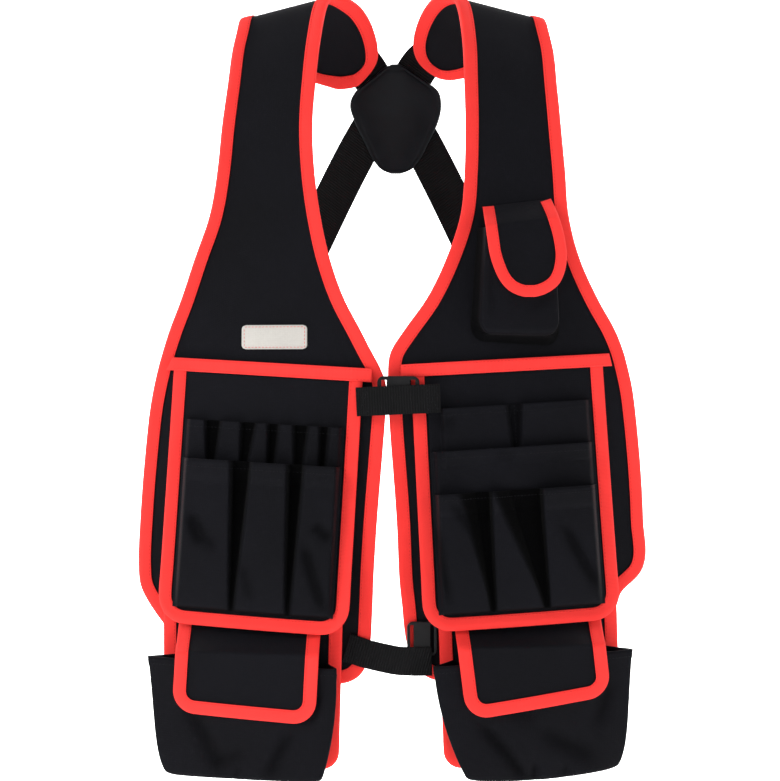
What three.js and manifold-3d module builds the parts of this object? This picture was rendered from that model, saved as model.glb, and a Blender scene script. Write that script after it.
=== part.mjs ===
// A utility work vest as it hangs when worn, in millimetres, +Z up and the front towards -Y.
// The origin is midway between the two shoulder folds, where the vest sits.
import * as THREE from "three";
import Module from "manifold-3d";
import { mergeVertices } from "three/addons/utils/BufferGeometryUtils.js";

const wasm = await Module();
wasm.setup();

// Sizes of the whole vest
const LENGTH = 720;
const HALF_WIDTH = 232;
const CHEST_DEPTH = 115;
const SIDE_SETBACK = 62;
const SHOULDER_SLOPE = 0.25;
const NECK_HALF_WIDTH = 55;

// Walls of cloth, tape and webbing, and the gap between two layers that touch
const PANEL_WALL = 3;
const CLOTH_WALL = 1.4;
const TAPE_WALL = 1;
const TAPE_WIDTH = 12;
const WEBBING_WALL = 1.6;
const GAP = 0.35;

// How far hanging and hollow pieces stand out
const POCKET_PANEL_SWING = 24;
const POCKET_DEPTH = 14;
const SLOT_DEPTH = 8;
const FLAT_POCKET_DEPTH = 7.5;
const POUCH_DEPTH = 29;
const PHONE_POUCH_WIDTH = 76;
const PHONE_POUCH_HEIGHT = 116;
const PHONE_POUCH_DEPTH = 22;
const POCKET_CORNER = 24;
const FLAP_CORNER = 19;
const POUCH_BACK_CORNER = 15;

// Straps, closures and the patch
const BACK_DEPTH = 108;
const STRAP_WIDTH = 38;
const STRAP_WALL = 2;
const PATCH_WIDTH = 90;
const PATCH_HEIGHT = 104;
const PATCH_WALL = 2.5;
const PATCH_DOME = 5;
const CLOSURE_WIDTH = 26;
const BUCKLE_WIDTH = 38;
const BUCKLE_HEIGHT = 33;
const BUCKLE_THICKNESS = 6;
const LOCK_WIDTH = 27;
const LOCK_HEIGHT = 31;
const LOCK_THICKNESS = 4;
const LABEL_WIDTH = 60;
const LABEL_HEIGHT = 22;

// Heights of the layers above the middle of the panel wall, each clear of the one below
const PANEL_FACE = PANEL_WALL / 2;
const LOOSE_TAPE_GAP = 1;
const TAPE_ON_PANEL = PANEL_FACE + LOOSE_TAPE_GAP + TAPE_WALL;
const BOUND_CLOTH = GAP + TAPE_WALL + GAP + CLOTH_WALL / 2;
const POCKET_PANEL_LIFT = PANEL_FACE + BOUND_CLOTH;
const POUCH_BACK_LIFT = TAPE_ON_PANEL + BOUND_CLOTH;
const NEXT_CLOTH = CLOTH_WALL + GAP;
const STACK_EASE = 1;
const ON_PANEL_EASE = 0.6;
const FLAP_LOW_LIFT = POUCH_BACK_LIFT + 2 * BOUND_CLOTH;
const POUCH_WALL_LIFT = POUCH_BACK_LIFT + NEXT_CLOTH;
const FLAP_HIGH_LIFT = POUCH_WALL_LIFT + POUCH_DEPTH + CLOTH_WALL / 2 + BOUND_CLOTH + LOOSE_TAPE_GAP;
const BAND_LIFT = POCKET_PANEL_LIFT + BOUND_CLOTH + GAP + TAPE_WALL / 2;
const OVER_BANDS = BAND_LIFT + TAPE_WALL / 2 + GAP;

const cloth = new THREE.MeshStandardMaterial({ color: 0x17181c, roughness: 0.9, metalness: 0 });
const tape = new THREE.MeshStandardMaterial({ color: 0xf9423d, roughness: 0.75, metalness: 0 });
const webbing = new THREE.MeshStandardMaterial({ color: 0x101113, roughness: 0.8, metalness: 0 });
const leather = new THREE.MeshStandardMaterial({ color: 0x15181d, roughness: 0.5, metalness: 0 });
const plastic = new THREE.MeshStandardMaterial({ color: 0x0c0c0d, roughness: 0.4, metalness: 0 });
const label = new THREE.MeshStandardMaterial({ color: 0xe9e7e2, roughness: 0.8, metalness: 0 });

const group = new THREE.Group();

// The run follows the vest from the shoulder fold down the front, and is negative down the back.
// Rows: run and rise as shares of LENGTH, ahead of CHEST_DEPTH, setback of SIDE_SETBACK,
// and slope of SHOULDER_SLOPE
const PROFILE = [
  { run: -0.250, rise: -0.222, ahead: -0.87, setback: -0.20, slope: 1.00 },
  { run: -0.174, rise: -0.106, ahead: -0.66, setback: -0.20, slope: 1.00 },
  { run: -0.139, rise: -0.078, ahead: -0.574, setback: -0.20, slope: 1.00 },
  { run: -0.111, rise: -0.0556, ahead: -0.487, setback: -0.15, slope: 1.00 },
  { run: -0.083, rise: -0.0333, ahead: -0.383, setback: -0.10, slope: 1.00 },
  { run: -0.056, rise: -0.0139, ahead: -0.252, setback: 0.00, slope: 1.00 },
  { run: -0.031, rise: -0.0014, ahead: -0.113, setback: 0.15, slope: 1.00 },
  { run: -0.011, rise: 0.0000, ahead: 0.00, setback: 0.30, slope: 1.00 },
  { run: 0.007, rise: -0.0080, ahead: 0.104, setback: 0.45, slope: 1.00 },
  { run: 0.042, rise: -0.0420, ahead: 0.296, setback: 0.70, slope: 0.92 },
  { run: 0.083, rise: -0.0830, ahead: 0.452, setback: 0.85, slope: 0.65 },
  { run: 0.139, rise: -0.1390, ahead: 0.609, setback: 0.95, slope: 0.25 },
  { run: 0.208, rise: -0.2080, ahead: 0.748, setback: 1.00, slope: 0.00 },
  { run: 0.278, rise: -0.2780, ahead: 0.852, setback: 1.00, slope: 0.00 },
  { run: 0.361, rise: -0.3610, ahead: 0.930, setback: 1.00, slope: 0.00 },
  { run: 0.472, rise: -0.4720, ahead: 0.983, setback: 1.00, slope: 0.00 },
  { run: 0.625, rise: -0.6250, ahead: 1.000, setback: 1.00, slope: 0.00 },
  { run: 0.778, rise: -0.7780, ahead: 0.974, setback: 1.00, slope: 0.00 },
  { run: 0.889, rise: -0.8890, ahead: 0.940, setback: 1.00, slope: 0.00 },
  { run: 1.100, rise: -1.1000, ahead: 0.904, setback: 1.00, slope: 0.00 },
];

// The outline of each panel from its hem to the end of its shoulder pad, an edge on the neck side
// and one on the arm side. Runs are shares of LENGTH, and the rest of HALF_WIDTH
const PANEL_ROWS = {
  left: [
    { neckRun: 0.883, neck: 0.276, armRun: 0.886, arm: 0.703 },
    { neckRun: 0.881, neck: 0.181, armRun: 0.864, arm: 0.769 },
    { neckRun: 0.869, neck: 0.121, armRun: 0.839, arm: 0.825 },
    { neckRun: 0.842, neck: 0.095, armRun: 0.815, arm: 0.894 },
    { neckRun: 0.792, neck: 0.083, armRun: 0.769, arm: 0.991 },
    { neckRun: 0.750, neck: 0.078, armRun: 0.742, arm: 1.003 },
    { neckRun: 0.681, neck: 0.065, armRun: 0.681, arm: 0.996 },
    { neckRun: 0.597, neck: 0.044, armRun: 0.597, arm: 0.975 },
    { neckRun: 0.535, neck: 0.030, armRun: 0.535, arm: 0.953 },
    { neckRun: 0.508, neck: 0.029, armRun: 0.508, arm: 0.937 },
    { neckRun: 0.486, neck: 0.054, armRun: 0.486, arm: 0.921 },
    { neckRun: 0.469, neck: 0.083, armRun: 0.469, arm: 0.906 },
    { neckRun: 0.439, neck: 0.131, armRun: 0.439, arm: 0.876 },
    { neckRun: 0.401, neck: 0.193, armRun: 0.401, arm: 0.830 },
    { neckRun: 0.350, neck: 0.249, armRun: 0.350, arm: 0.777 },
    { neckRun: 0.293, neck: 0.288, armRun: 0.293, arm: 0.716 },
    { neckRun: 0.236, neck: 0.312, armRun: 0.236, arm: 0.687 },
    { neckRun: 0.178, neck: 0.321, armRun: 0.178, arm: 0.672 },
    { neckRun: 0.111, neck: 0.309, armRun: 0.110, arm: 0.651 },
    { neckRun: 0.056, neck: 0.293, armRun: 0.043, arm: 0.635 },
    { neckRun: 0.017, neck: 0.274, armRun: 0.014, arm: 0.619 },
    { neckRun: -0.011, neck: 0.246, armRun: -0.011, arm: 0.611 },
    { neckRun: -0.036, neck: 0.192, armRun: -0.036, arm: 0.595 },
    { neckRun: -0.064, neck: 0.129, armRun: -0.064, arm: 0.560 },
    { neckRun: -0.097, neck: 0.085, armRun: -0.094, arm: 0.504 },
    { neckRun: -0.131, neck: 0.065, armRun: -0.125, arm: 0.435 },
    { neckRun: -0.153, neck: 0.071, armRun: -0.149, arm: 0.362 },
    { neckRun: -0.168, neck: 0.099, armRun: -0.165, arm: 0.293 },
    { neckRun: -0.178, neck: 0.147, armRun: -0.176, arm: 0.224 },
  ],
  right: [
    { neckRun: 0.879, neck: 0.224, armRun: 0.883, arm: 0.647 },
    { neckRun: 0.876, neck: 0.155, armRun: 0.861, arm: 0.720 },
    { neckRun: 0.864, neck: 0.106, armRun: 0.836, arm: 0.789 },
    { neckRun: 0.839, neck: 0.069, armRun: 0.806, arm: 0.858 },
    { neckRun: 0.817, neck: 0.055, armRun: 0.786, arm: 0.890 },
    { neckRun: 0.786, neck: 0.046, armRun: 0.772, arm: 0.903 },
    { neckRun: 0.757, neck: 0.036, armRun: 0.746, arm: 0.989 },
    { neckRun: 0.681, neck: 0.025, armRun: 0.681, arm: 0.994 },
    { neckRun: 0.535, neck: -0.007, armRun: 0.535, arm: 0.959 },
    { neckRun: 0.508, neck: -0.009, armRun: 0.508, arm: 0.946 },
    { neckRun: 0.486, neck: -0.009, armRun: 0.486, arm: 0.930 },
    { neckRun: 0.469, neck: -0.002, armRun: 0.469, arm: 0.916 },
    { neckRun: 0.439, neck: 0.057, armRun: 0.439, arm: 0.879 },
    { neckRun: 0.401, neck: 0.141, armRun: 0.401, arm: 0.811 },
    { neckRun: 0.350, neck: 0.218, armRun: 0.350, arm: 0.738 },
    { neckRun: 0.293, neck: 0.276, armRun: 0.293, arm: 0.693 },
    { neckRun: 0.236, neck: 0.292, armRun: 0.236, arm: 0.681 },
    { neckRun: 0.178, neck: 0.297, armRun: 0.178, arm: 0.668 },
    { neckRun: 0.111, neck: 0.294, armRun: 0.110, arm: 0.654 },
    { neckRun: 0.056, neck: 0.289, armRun: 0.043, arm: 0.643 },
    { neckRun: 0.017, neck: 0.274, armRun: 0.014, arm: 0.626 },
    { neckRun: -0.011, neck: 0.246, armRun: -0.011, arm: 0.615 },
    { neckRun: -0.036, neck: 0.183, armRun: -0.036, arm: 0.599 },
    { neckRun: -0.064, neck: 0.138, armRun: -0.064, arm: 0.565 },
    { neckRun: -0.092, neck: 0.108, armRun: -0.089, arm: 0.504 },
    { neckRun: -0.121, neck: 0.095, armRun: -0.115, arm: 0.435 },
    { neckRun: -0.144, neck: 0.112, armRun: -0.138, arm: 0.366 },
    { neckRun: -0.157, neck: 0.147, armRun: -0.153, arm: 0.302 },
    { neckRun: -0.165, neck: 0.194, armRun: -0.163, arm: 0.246 },
  ],
};

// Four-cornered pieces by their corners on the panel: neck and arm side, top and bottom.
// Each corner is across as a share of HALF_WIDTH and down as a share of LENGTH
const QUADS = {
  left: {
    band: { neckTop: [0.078, 0.488], armTop: [0.866, 0.473], neckLow: [0.078, 0.505], armLow: [0.893, 0.489] },
    pocketPanel: { neckTop: [0.118, 0.495], armTop: [0.855, 0.482], neckLow: [0.176, 0.819], armLow: [0.919, 0.806] },
    pouchBack: { neckTop: [0.196, 0.785], armTop: [0.899, 0.778], neckLow: [0.213, 0.990], armLow: [0.899, 0.986] },
    flap: { neckTop: [0.278, 0.786], armTop: [0.826, 0.781], neckLow: [0.302, 0.928], armLow: [0.853, 0.917] },
    pouchFront: { neckTop: [0.205, 0.861], armTop: [0.961, 0.851], neckLow: [0.263, 1.002], armLow: [0.897, 0.999] },
    pouchSeam: { neckTop: [0.254, 0.857], armTop: [0.843, 0.850], neckLow: [0.269, 0.971], armLow: [0.841, 0.968] },
  },
  right: {
    band: { neckTop: [0.034, 0.483], armTop: [0.858, 0.468], neckLow: [0.034, 0.499], armLow: [0.870, 0.484] },
    pocketPanel: { neckTop: [0.078, 0.491], armTop: [0.825, 0.476], neckLow: [0.128, 0.814], armLow: [0.893, 0.802] },
    pouchBack: { neckTop: [0.182, 0.781], armTop: [0.882, 0.772], neckLow: [0.209, 0.989], armLow: [0.905, 0.978] },
    flap: { neckTop: [0.239, 0.786], armTop: [0.804, 0.775], neckLow: [0.293, 0.922], armLow: [0.849, 0.897] },
    pouchFront: { neckTop: [0.164, 0.858], armTop: [0.947, 0.842], neckLow: [0.287, 1.003], armLow: [0.897, 0.990] },
    pouchSeam: { neckTop: [0.241, 0.853], armTop: [0.825, 0.839], neckLow: [0.267, 0.969], armLow: [0.845, 0.958] },
  },
};

// Rows of pockets on a pocket panel. Places are shares of the panel's width from its neck side
// and of its height from its top. The span is the widest step across, in millimetres, and the
// downs are the row's own steps from its mouth to its bottom. A valley is where the row is sewn down: its place across at the pocket's mouth and at its bottom, and
// half its open width at the mouth
const POCKET_ROWS = {
  left_slots: {
    from: 0.080, to: 0.920, mouth: 0.21, bottom: 0.44, depth: SLOT_DEPTH, span: 40, downs: [0, 0.6, 1],
    valleys: [
      { mouth: 0.178, bottom: 0.178, open: 0.008 },
      { mouth: 0.302, bottom: 0.305, open: 0.020 },
      { mouth: 0.447, bottom: 0.450, open: 0.012 },
      { mouth: 0.580, bottom: 0.600, open: 0.020 },
      { mouth: 0.772, bottom: 0.772, open: 0.022 },
    ],
  },
  left_pockets: {
    from: 0.080, to: 0.920, mouth: 0.36, bottom: 0.940, depth: POCKET_DEPTH, span: 40, downs: [0, 0.4, 0.75, 1],
    valleys: [
      { mouth: 0.315, bottom: 0.313, open: 0.022 },
      { mouth: 0.605, bottom: 0.610, open: 0.030 },
    ],
  },
  right_flat_pockets: {
    from: 0.130, to: 0.920, mouth: 0.152, bottom: 0.38, depth: FLAT_POCKET_DEPTH, span: 30, downs: [0, 0.5, 0.8, 1],
    valleys: [{ mouth: 0.520, bottom: 0.520, open: 0.020 }],
  },
  right_wide_pocket: {
    from: 0.085, to: 0.920, mouth: 0.316, bottom: 0.56, depth: FLAT_POCKET_DEPTH, span: 30, downs: [0, 0.5, 0.8, 1],
    valleys: [],
  },
  right_pockets: {
    from: 0.080, to: 0.920, mouth: 0.480, bottom: 0.940, depth: POCKET_DEPTH, span: 40, downs: [0, 0.4, 0.75, 1],
    valleys: [
      { mouth: 0.326, bottom: 0.350, open: 0.022 },
      { mouth: 0.545, bottom: 0.626, open: 0.055 },
    ],
  },
};

// A pouch from its rim to where its bottom is sewn on: how far down its front and its seam have
// come, and how far out the row stands
const POUCH_ROWS = [
  { front: 0.00, seam: 0.00, out: 1.00 },
  { front: 0.30, seam: 0.25, out: 1.00 },
  { front: 0.60, seam: 0.50, out: 1.00 },
  { front: 0.88, seam: 0.72, out: 0.98 },
  { front: 0.97, seam: 0.82, out: 0.92 },
  { front: 1.00, seam: 0.89, out: 0.75 },
  { front: 1.00, seam: 0.95, out: 0.38 },
  { front: 1.00, seam: 1.00, out: 0.00 },
];

// The half of a pouch from one seam to its middle: places across its front and its seam line,
// and how far out each stands
const POUCH_COLUMNS = [
  { front: 0.00, seam: 0.00, out: 0.00 },
  { front: 0.00, seam: 0.03, out: 0.45 },
  { front: 0.01, seam: 0.07, out: 0.88 },
  { front: 0.05, seam: 0.13, out: 0.98 },
  { front: 0.22, seam: 0.26, out: 1.00 },
  { front: 0.50, seam: 0.50, out: 1.00 },
];

// The phone pouch and its flap. Across is a share of PHONE_POUCH_WIDTH from PHONE_POUCH_PLACE,
// and down is a share of PHONE_POUCH_HEIGHT
const PHONE_POUCH_PLACE = { across: 0.340, down: 0.285 };
const PHONE_QUADS = {
  front: { neckTop: [0.07, 0.16], armTop: [0.90, 0.10], neckLow: [0.00, 1.00], armLow: [0.97, 1.00] },
  seam: { neckTop: [-0.01, 0.16], armTop: [0.89, 0.10], neckLow: [-0.11, 1.04], armLow: [0.97, 1.08] },
};
const PHONE_FLAP_ROWS = [
  { neck: 0.065, neckRun: -0.010, arm: 0.855, armRun: -0.080 },
  { neck: 0.072, neckRun: 0.045, arm: 0.885, armRun: -0.025 },
  { neck: 0.080, neckRun: 0.100, arm: 0.912, armRun: 0.030 },
  { neck: 0.090, neckRun: 0.155, arm: 0.938, armRun: 0.085 },
  { neck: 0.110, neckRun: 0.255, arm: 0.990, armRun: 0.205 },
  { neck: 0.14, neckRun: 0.380, arm: 1.025, armRun: 0.365 },
  { neck: 0.185, neckRun: 0.475, arm: 1.01, armRun: 0.465 },
  { neck: 0.24, neckRun: 0.555, arm: 0.975, armRun: 0.540 },
  { neck: 0.30, neckRun: 0.610, arm: 0.92, armRun: 0.600 },
  { neck: 0.37, neckRun: 0.650, arm: 0.84, armRun: 0.643 },
  { neck: 0.45, neckRun: 0.676, arm: 0.75, armRun: 0.673 },
  { neck: 0.53, neckRun: 0.690, arm: 0.66, armRun: 0.689 },
];

// The patch from its top to its bottom: half widths as shares of PATCH_WIDTH, drop of PATCH_HEIGHT
const PATCH_ROWS = [
  { drop: 0.000, left: 0.04, right: 0.03 },
  { drop: 0.030, left: 0.12, right: 0.11 },
  { drop: 0.095, left: 0.215, right: 0.222 },
  { drop: 0.170, left: 0.33, right: 0.355 },
  { drop: 0.235, left: 0.425, right: 0.45 },
  { drop: 0.345, left: 0.495, right: 0.49 },
  { drop: 0.500, left: 0.455, right: 0.465 },
  { drop: 0.700, left: 0.345, right: 0.36 },
  { drop: 0.895, left: 0.225, right: 0.235 },
  { drop: 0.970, left: 0.138, right: 0.145 },
  { drop: 1.000, left: 0.05, right: 0.05 },
];

// How far back the straps lie down the wearer's back: drop of LENGTH and back of BACK_DEPTH
const BACK_PROFILE = [
  { drop: 0.060, back: 0.639 },
  { drop: 0.083, back: 0.694 },
  { drop: 0.125, back: 0.792 },
  { drop: 0.167, back: 0.889 },
  { drop: 0.199, back: 0.946 },
  { drop: 0.247, back: 0.995 },
  { drop: 0.313, back: 1.019 },
];

// The back strap that starts on the right shoulder pad and ends inside the left panel's arm side:
// its first places on the pad, then down the middle of the back, then round the side.
// Across is a share of HALF_WIDTH, run and drop of LENGTH, and back of BACK_DEPTH. The turn is
// how far its outer face has turned from the back towards the arm side, in degrees
const STRAP_ON_PAD = [
  { across: 0.215, run: -0.105 },
  { across: 0.165, run: -0.132 },
  { across: 0.120, run: -0.153 },
];
const STRAP_ON_BACK = [
  { across: 0.060, drop: 0.104 },
  { across: -0.012, drop: 0.126 },
  { across: -0.095, drop: 0.163 },
  { across: -0.160, drop: 0.199 },
  { across: -0.237, drop: 0.247 },
  { across: -0.336, drop: 0.313 },
];
const STRAP_ROUND_SIDE = [
  { across: -0.450, back: 0.975, drop: 0.392, turn: 14 },
  { across: -0.600, back: 0.850, drop: 0.466, turn: 28 },
  { across: -0.760, back: 0.560, drop: 0.520, turn: 52 },
  { across: -0.868, back: 0.210, drop: 0.556, turn: 76 },
  { across: -0.905, back: -0.140, drop: 0.578, turn: 98 },
  { across: -0.902, back: -0.380, drop: 0.592, turn: 120 },
];
const STRAP_END = { across: -0.760, run: 0.606 };

const clamp = (value, low, high) => Math.min(high, Math.max(low, value));
const mix = (from, to, share) => from + (to - from) * share;
const smooth = (share) => {
  const s = clamp(share, 0, 1);
  return s * s * (3 - 2 * s);
};

// Reads a column of a table at any place between its rows, on a smooth curve through them
function readTable(table, key, at, column) {
  let i = 0;
  while (i < table.length - 2 && at > table[i + 1][key]) i += 1;
  const slope = (a, b) => (table[b][column] - table[a][column]) / (table[b][key] - table[a][key]);
  const tangent = (k) => {
    if (k === 0) return slope(0, 1);
    if (k === table.length - 1) return slope(k - 1, k);
    return (slope(k - 1, k) + slope(k, k + 1)) / 2;
  };
  const span = table[i + 1][key] - table[i][key];
  const t = clamp((at - table[i][key]) / span, 0, 1);
  const t2 = t * t;
  const t3 = t2 * t;
  return (2 * t3 - 3 * t2 + 1) * table[i][column] + (t3 - 2 * t2 + t) * span * tangent(i)
    + (3 * t2 - 2 * t3) * table[i + 1][column] + (t3 - t2) * span * tangent(i + 1);
}

// A point on the middle of the panel wall: x across, and the run down the front
function bodyPoint(x, run) {
  const at = run / LENGTH;
  const read = (column) => readTable(PROFILE, "run", at, column);
  const away = x / HALF_WIDTH;
  const y = -CHEST_DEPTH * read("ahead") + SIDE_SETBACK * read("setback") * away * away;
  const fall = SHOULDER_SLOPE * read("slope") * (Math.abs(x) - NECK_HALF_WIDTH);
  return new THREE.Vector3(x, y, LENGTH * read("rise") - fall);
}

// The direction square to the cloth, away from the wearer
function squareTo(x, run) {
  const across = bodyPoint(x + 1, run).sub(bodyPoint(x - 1, run));
  const along = bodyPoint(x, run + 1).sub(bodyPoint(x, run - 1));
  return along.cross(across).normalize();
}

// The direction in which layers are stacked: square to the cloth over the shoulder, and straight
// ahead on the front, where the pockets hang
const SQUARE_ABOVE = 0.08;
const AHEAD_BELOW = 0.21;
function outward(x, run) {
  const square = squareTo(x, run);
  const share = smooth((run / LENGTH - SQUARE_ABOVE) / (AHEAD_BELOW - SQUARE_ABOVE));
  return square.lerp(new THREE.Vector3(0, -1, 0), share).normalize();
}

function place(x, run, height) {
  return bodyPoint(x, run).addScaledVector(outward(x, run), height);
}

// One closed solid between an outer and an inner grid of points of the same shape
function sheetSolid(outer, inner, loop = false) {
  const rows = outer.length;
  const columns = outer[0].length;
  const positions = [];
  for (const grid of [outer, inner]) {
    for (const row of grid) {
      for (const point of row) positions.push(point.x, point.y, point.z);
    }
  }
  const id = (layer, i, j) => layer * rows * columns + (i % rows) * columns + j;
  const faces = [];
  const quad = (a, b, c, d) => faces.push(a, b, c, a, c, d);
  const lastRow = loop ? rows : rows - 1;
  for (let i = 0; i < lastRow; i += 1) {
    for (let j = 0; j < columns - 1; j += 1) {
      quad(id(0, i, j), id(0, i, j + 1), id(0, i + 1, j + 1), id(0, i + 1, j));
      quad(id(1, i, j), id(1, i + 1, j), id(1, i + 1, j + 1), id(1, i, j + 1));
    }
    quad(id(0, i, 0), id(0, i + 1, 0), id(1, i + 1, 0), id(1, i, 0));
    const end = columns - 1;
    quad(id(0, i, end), id(1, i, end), id(1, i + 1, end), id(0, i + 1, end));
  }
  if (!loop) {
    const end = rows - 1;
    for (let j = 0; j < columns - 1; j += 1) {
      quad(id(0, 0, j), id(1, 0, j), id(1, 0, j + 1), id(0, 0, j + 1));
      quad(id(0, end, j), id(0, end, j + 1), id(1, end, j + 1), id(1, end, j));
    }
  }
  let volume = 0;
  const corner = (k) => new THREE.Vector3().fromArray(positions, 3 * k);
  for (let f = 0; f < faces.length; f += 3) {
    volume += corner(faces[f]).dot(corner(faces[f + 1]).cross(corner(faces[f + 2])));
  }
  if (volume < 0) faces.reverse();
  const geometry = new THREE.BufferGeometry();
  geometry.setAttribute("position", new THREE.Float32BufferAttribute(positions, 3));
  geometry.setIndex(faces);
  geometry.computeVertexNormals();
  return geometry;
}

// A sheet of even wall about a grid of middle points, square to the grid
function evenSheet(points, wall) {
  const rows = points.length;
  const columns = points[0].length;
  const half = wall / 2;
  const shifted = (side) => points.map((row, i) => row.map((point, j) => {
    const up = points[Math.max(i - 1, 0)][j];
    const down = points[Math.min(i + 1, rows - 1)][j];
    const before = row[Math.max(j - 1, 0)];
    const after = row[Math.min(j + 1, columns - 1)];
    const square = down.clone().sub(up).cross(after.clone().sub(before)).normalize();
    return point.clone().addScaledVector(square, side * half);
  }));
  return sheetSolid(shifted(1), shifted(-1));
}

// Turns a closed geometry into a solid that can be cut, and back
function solidOf(geometry) {
  const plain = geometry.clone();
  plain.deleteAttribute("normal");
  plain.deleteAttribute("uv");
  const merged = mergeVertices(plain, 1e-4);
  return new wasm.Manifold(new wasm.Mesh({
    numProp: 3,
    vertProperties: new Float32Array(merged.attributes.position.array),
    triVerts: new Uint32Array(merged.index.array),
  }));
}

function geometryOf(solid) {
  const { vertProperties, triVerts } = solid.getMesh();
  const geometry = new THREE.BufferGeometry();
  geometry.setAttribute("position", new THREE.BufferAttribute(vertProperties, 3));
  geometry.setIndex(new THREE.BufferAttribute(triVerts, 1));
  geometry.computeVertexNormals();
  return geometry;
}

function add(name, geometry, material) {
  const piece = new THREE.Mesh(geometry, material);
  piece.name = name;
  group.add(piece);
  return piece;
}

// A cloth piece given by rows of its two side ends, each an across and a run, and by its height
// above the panel wall at any place
function clothPiece(name, rows, columns, height, wall, material) {
  const grid = (side) => rows.map(([start, end]) => columnShares(start, end, columns).map((share) => {
    const x = mix(start[0], end[0], share);
    const run = mix(start[1], end[1], share);
    return place(x, run, height(x, run) + side * wall / 2);
  }));
  return add(name, sheetSolid(grid(1), grid(-1)), material);
}

// Shares across a row of cloth: its ends, the inner edges of the tape on them, and even steps
function columnShares(start, end, columns) {
  const width = Math.hypot(end[0] - start[0], end[1] - start[1]);
  const edge = Math.min(TAPE_WIDTH / width, 0.9 / columns);
  const shares = [0, edge];
  for (let j = 1; j < columns - 1; j += 1) {
    shares.push(mix(edge, 1 - edge, j / (columns - 1)));
  }
  shares.push(1 - edge, 1);
  return shares;
}

// Moves each point of a line in the panel's plane to its left by a distance, mitred at corners
function offsetLine(line, distance, loop) {
  const count = line.length;
  return line.map((point, k) => {
    const before = line[loop ? (k + count - 1) % count : Math.max(k - 1, 0)];
    const after = line[loop ? (k + 1) % count : Math.min(k + 1, count - 1)];
    const first = new THREE.Vector2(point[0] - before[0], point[1] - before[1]).normalize();
    const second = new THREE.Vector2(after[0] - point[0], after[1] - point[1]).normalize();
    const along = first.clone().add(second).normalize();
    const reach = distance / Math.max(0.55, along.dot(first.lengthSq() ? first : second));
    return [point[0] - along.y * reach, point[1] + along.x * reach];
  });
}

// A tape folded over an edge line of a cloth piece, whose inside lies to the line's left
function bindingPiece(name, line, loop, height, wall, gap = GAP) {
  const inside = wall / 2 + gap;
  const outside = inside + TAPE_WALL;
  const legEnd = offsetLine(line, TAPE_WIDTH - gap - TAPE_WALL, loop);
  const innerFold = offsetLine(line, -gap, loop);
  const outerFold = offsetLine(line, -gap - TAPE_WALL, loop);
  const at = (points, k, side) => {
    const [x, run] = points[k];
    const [edgeX, edgeRun] = line[k];
    const lift = points === legEnd ? height(x, run) : height(edgeX, edgeRun);
    return place(x, run, lift + side);
  };
  const section = (folds, side) => line.map((point, k) => [
    at(legEnd, k, side), at(folds, k, side), at(folds, k, -side), at(legEnd, k, -side),
  ]);
  return add(name, sheetSolid(section(outerFold, outside), section(innerFold, inside), loop), tape);
}

// Turns a table's corner into an across and a run, on the side that the sign gives
const corner = (sign, [across, down]) => [sign * across * HALF_WIDTH, down * LENGTH];

function quadPoint(sign, quad, across, down) {
  const neck = corner(sign, quad.neckTop).map((v, k) => mix(v, corner(sign, quad.neckLow)[k], down));
  const arm = corner(sign, quad.armTop).map((v, k) => mix(v, corner(sign, quad.armLow)[k], down));
  return [mix(neck[0], arm[0], across), mix(neck[1], arm[1], across)];
}

// Rows of a four-cornered piece with its two bottom corners rounded
function roundedRows(sign, quad, radius, straightRows, cornerRows) {
  const [, topRun] = quadPoint(sign, quad, 0.5, 0);
  const [, lowRun] = quadPoint(sign, quad, 0.5, 1);
  const width = Math.abs(quadPoint(sign, quad, 1, 1)[0] - quadPoint(sign, quad, 0, 1)[0]);
  const height = lowRun - topRun;
  const rows = [];
  for (let i = 0; i < straightRows; i += 1) {
    const down = (1 - radius / height) * i / straightRows;
    rows.push([quadPoint(sign, quad, 0, down), quadPoint(sign, quad, 1, down)]);
  }
  for (let i = 0; i <= cornerRows; i += 1) {
    const turn = (Math.PI / 2) * (i / cornerRows);
    const down = 1 - radius * (1 - Math.sin(turn)) / height;
    const inset = radius * (1 - Math.cos(turn)) / width;
    rows.push([quadPoint(sign, quad, inset, down), quadPoint(sign, quad, 1 - inset, down)]);
  }
  return rows;
}

// The edge of a piece down its first side, along its bottom and up its other side, turned so that
// the piece lies to the left of it
function edgeLine(rows, bottomSteps, closed) {
  const starts = rows.map((row) => row[0]);
  const ends = rows.map((row) => row[1]).reverse();
  const between = (from, to) => {
    const points = [];
    for (let k = 1; k < bottomSteps; k += 1) {
      points.push([mix(from[0], to[0], k / bottomSteps), mix(from[1], to[1], k / bottomSteps)]);
    }
    return points;
  };
  const line = [...starts, ...between(starts.at(-1), ends[0]), ...ends];
  if (closed) line.push(...between(ends.at(-1), starts[0]));
  let area = 0;
  for (let k = 0; k < line.length; k += 1) {
    const next = line[(k + 1) % line.length];
    area += line[k][0] * next[1] - next[0] * line[k][1];
  }
  return area > 0 ? line : line.reverse();
}

// The two panels, with the tape round their whole edge
const PANEL_COLUMNS = 4;
const FOLD_FROM = -0.135;
const FOLD_TO = 0.115;
function makePanel(side, sign) {
  const rows = [];
  PANEL_ROWS[side].forEach((row, k) => {
    const before = PANEL_ROWS[side][Math.max(k - 1, 0)];
    const onFold = row.neckRun > FOLD_FROM && before.neckRun < FOLD_TO;
    for (const share of onFold ? [0.5, 1] : [1]) {
      const at = (key, scale) => mix(before[key], row[key], share) * scale;
      rows.push([
        [sign * at("neck", HALF_WIDTH), at("neckRun", LENGTH)],
        [sign * at("arm", HALF_WIDTH), at("armRun", LENGTH)],
      ]);
    }
  });
  const flat = () => 0;
  clothPiece(`${side}_panel`, rows, PANEL_COLUMNS, flat, PANEL_WALL, cloth);
  const line = edgeLine([...rows].reverse(), PANEL_COLUMNS, false);
  bindingPiece(`${side}_panel_binding`, line, true, flat, PANEL_WALL, LOOSE_TAPE_GAP);
}

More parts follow.
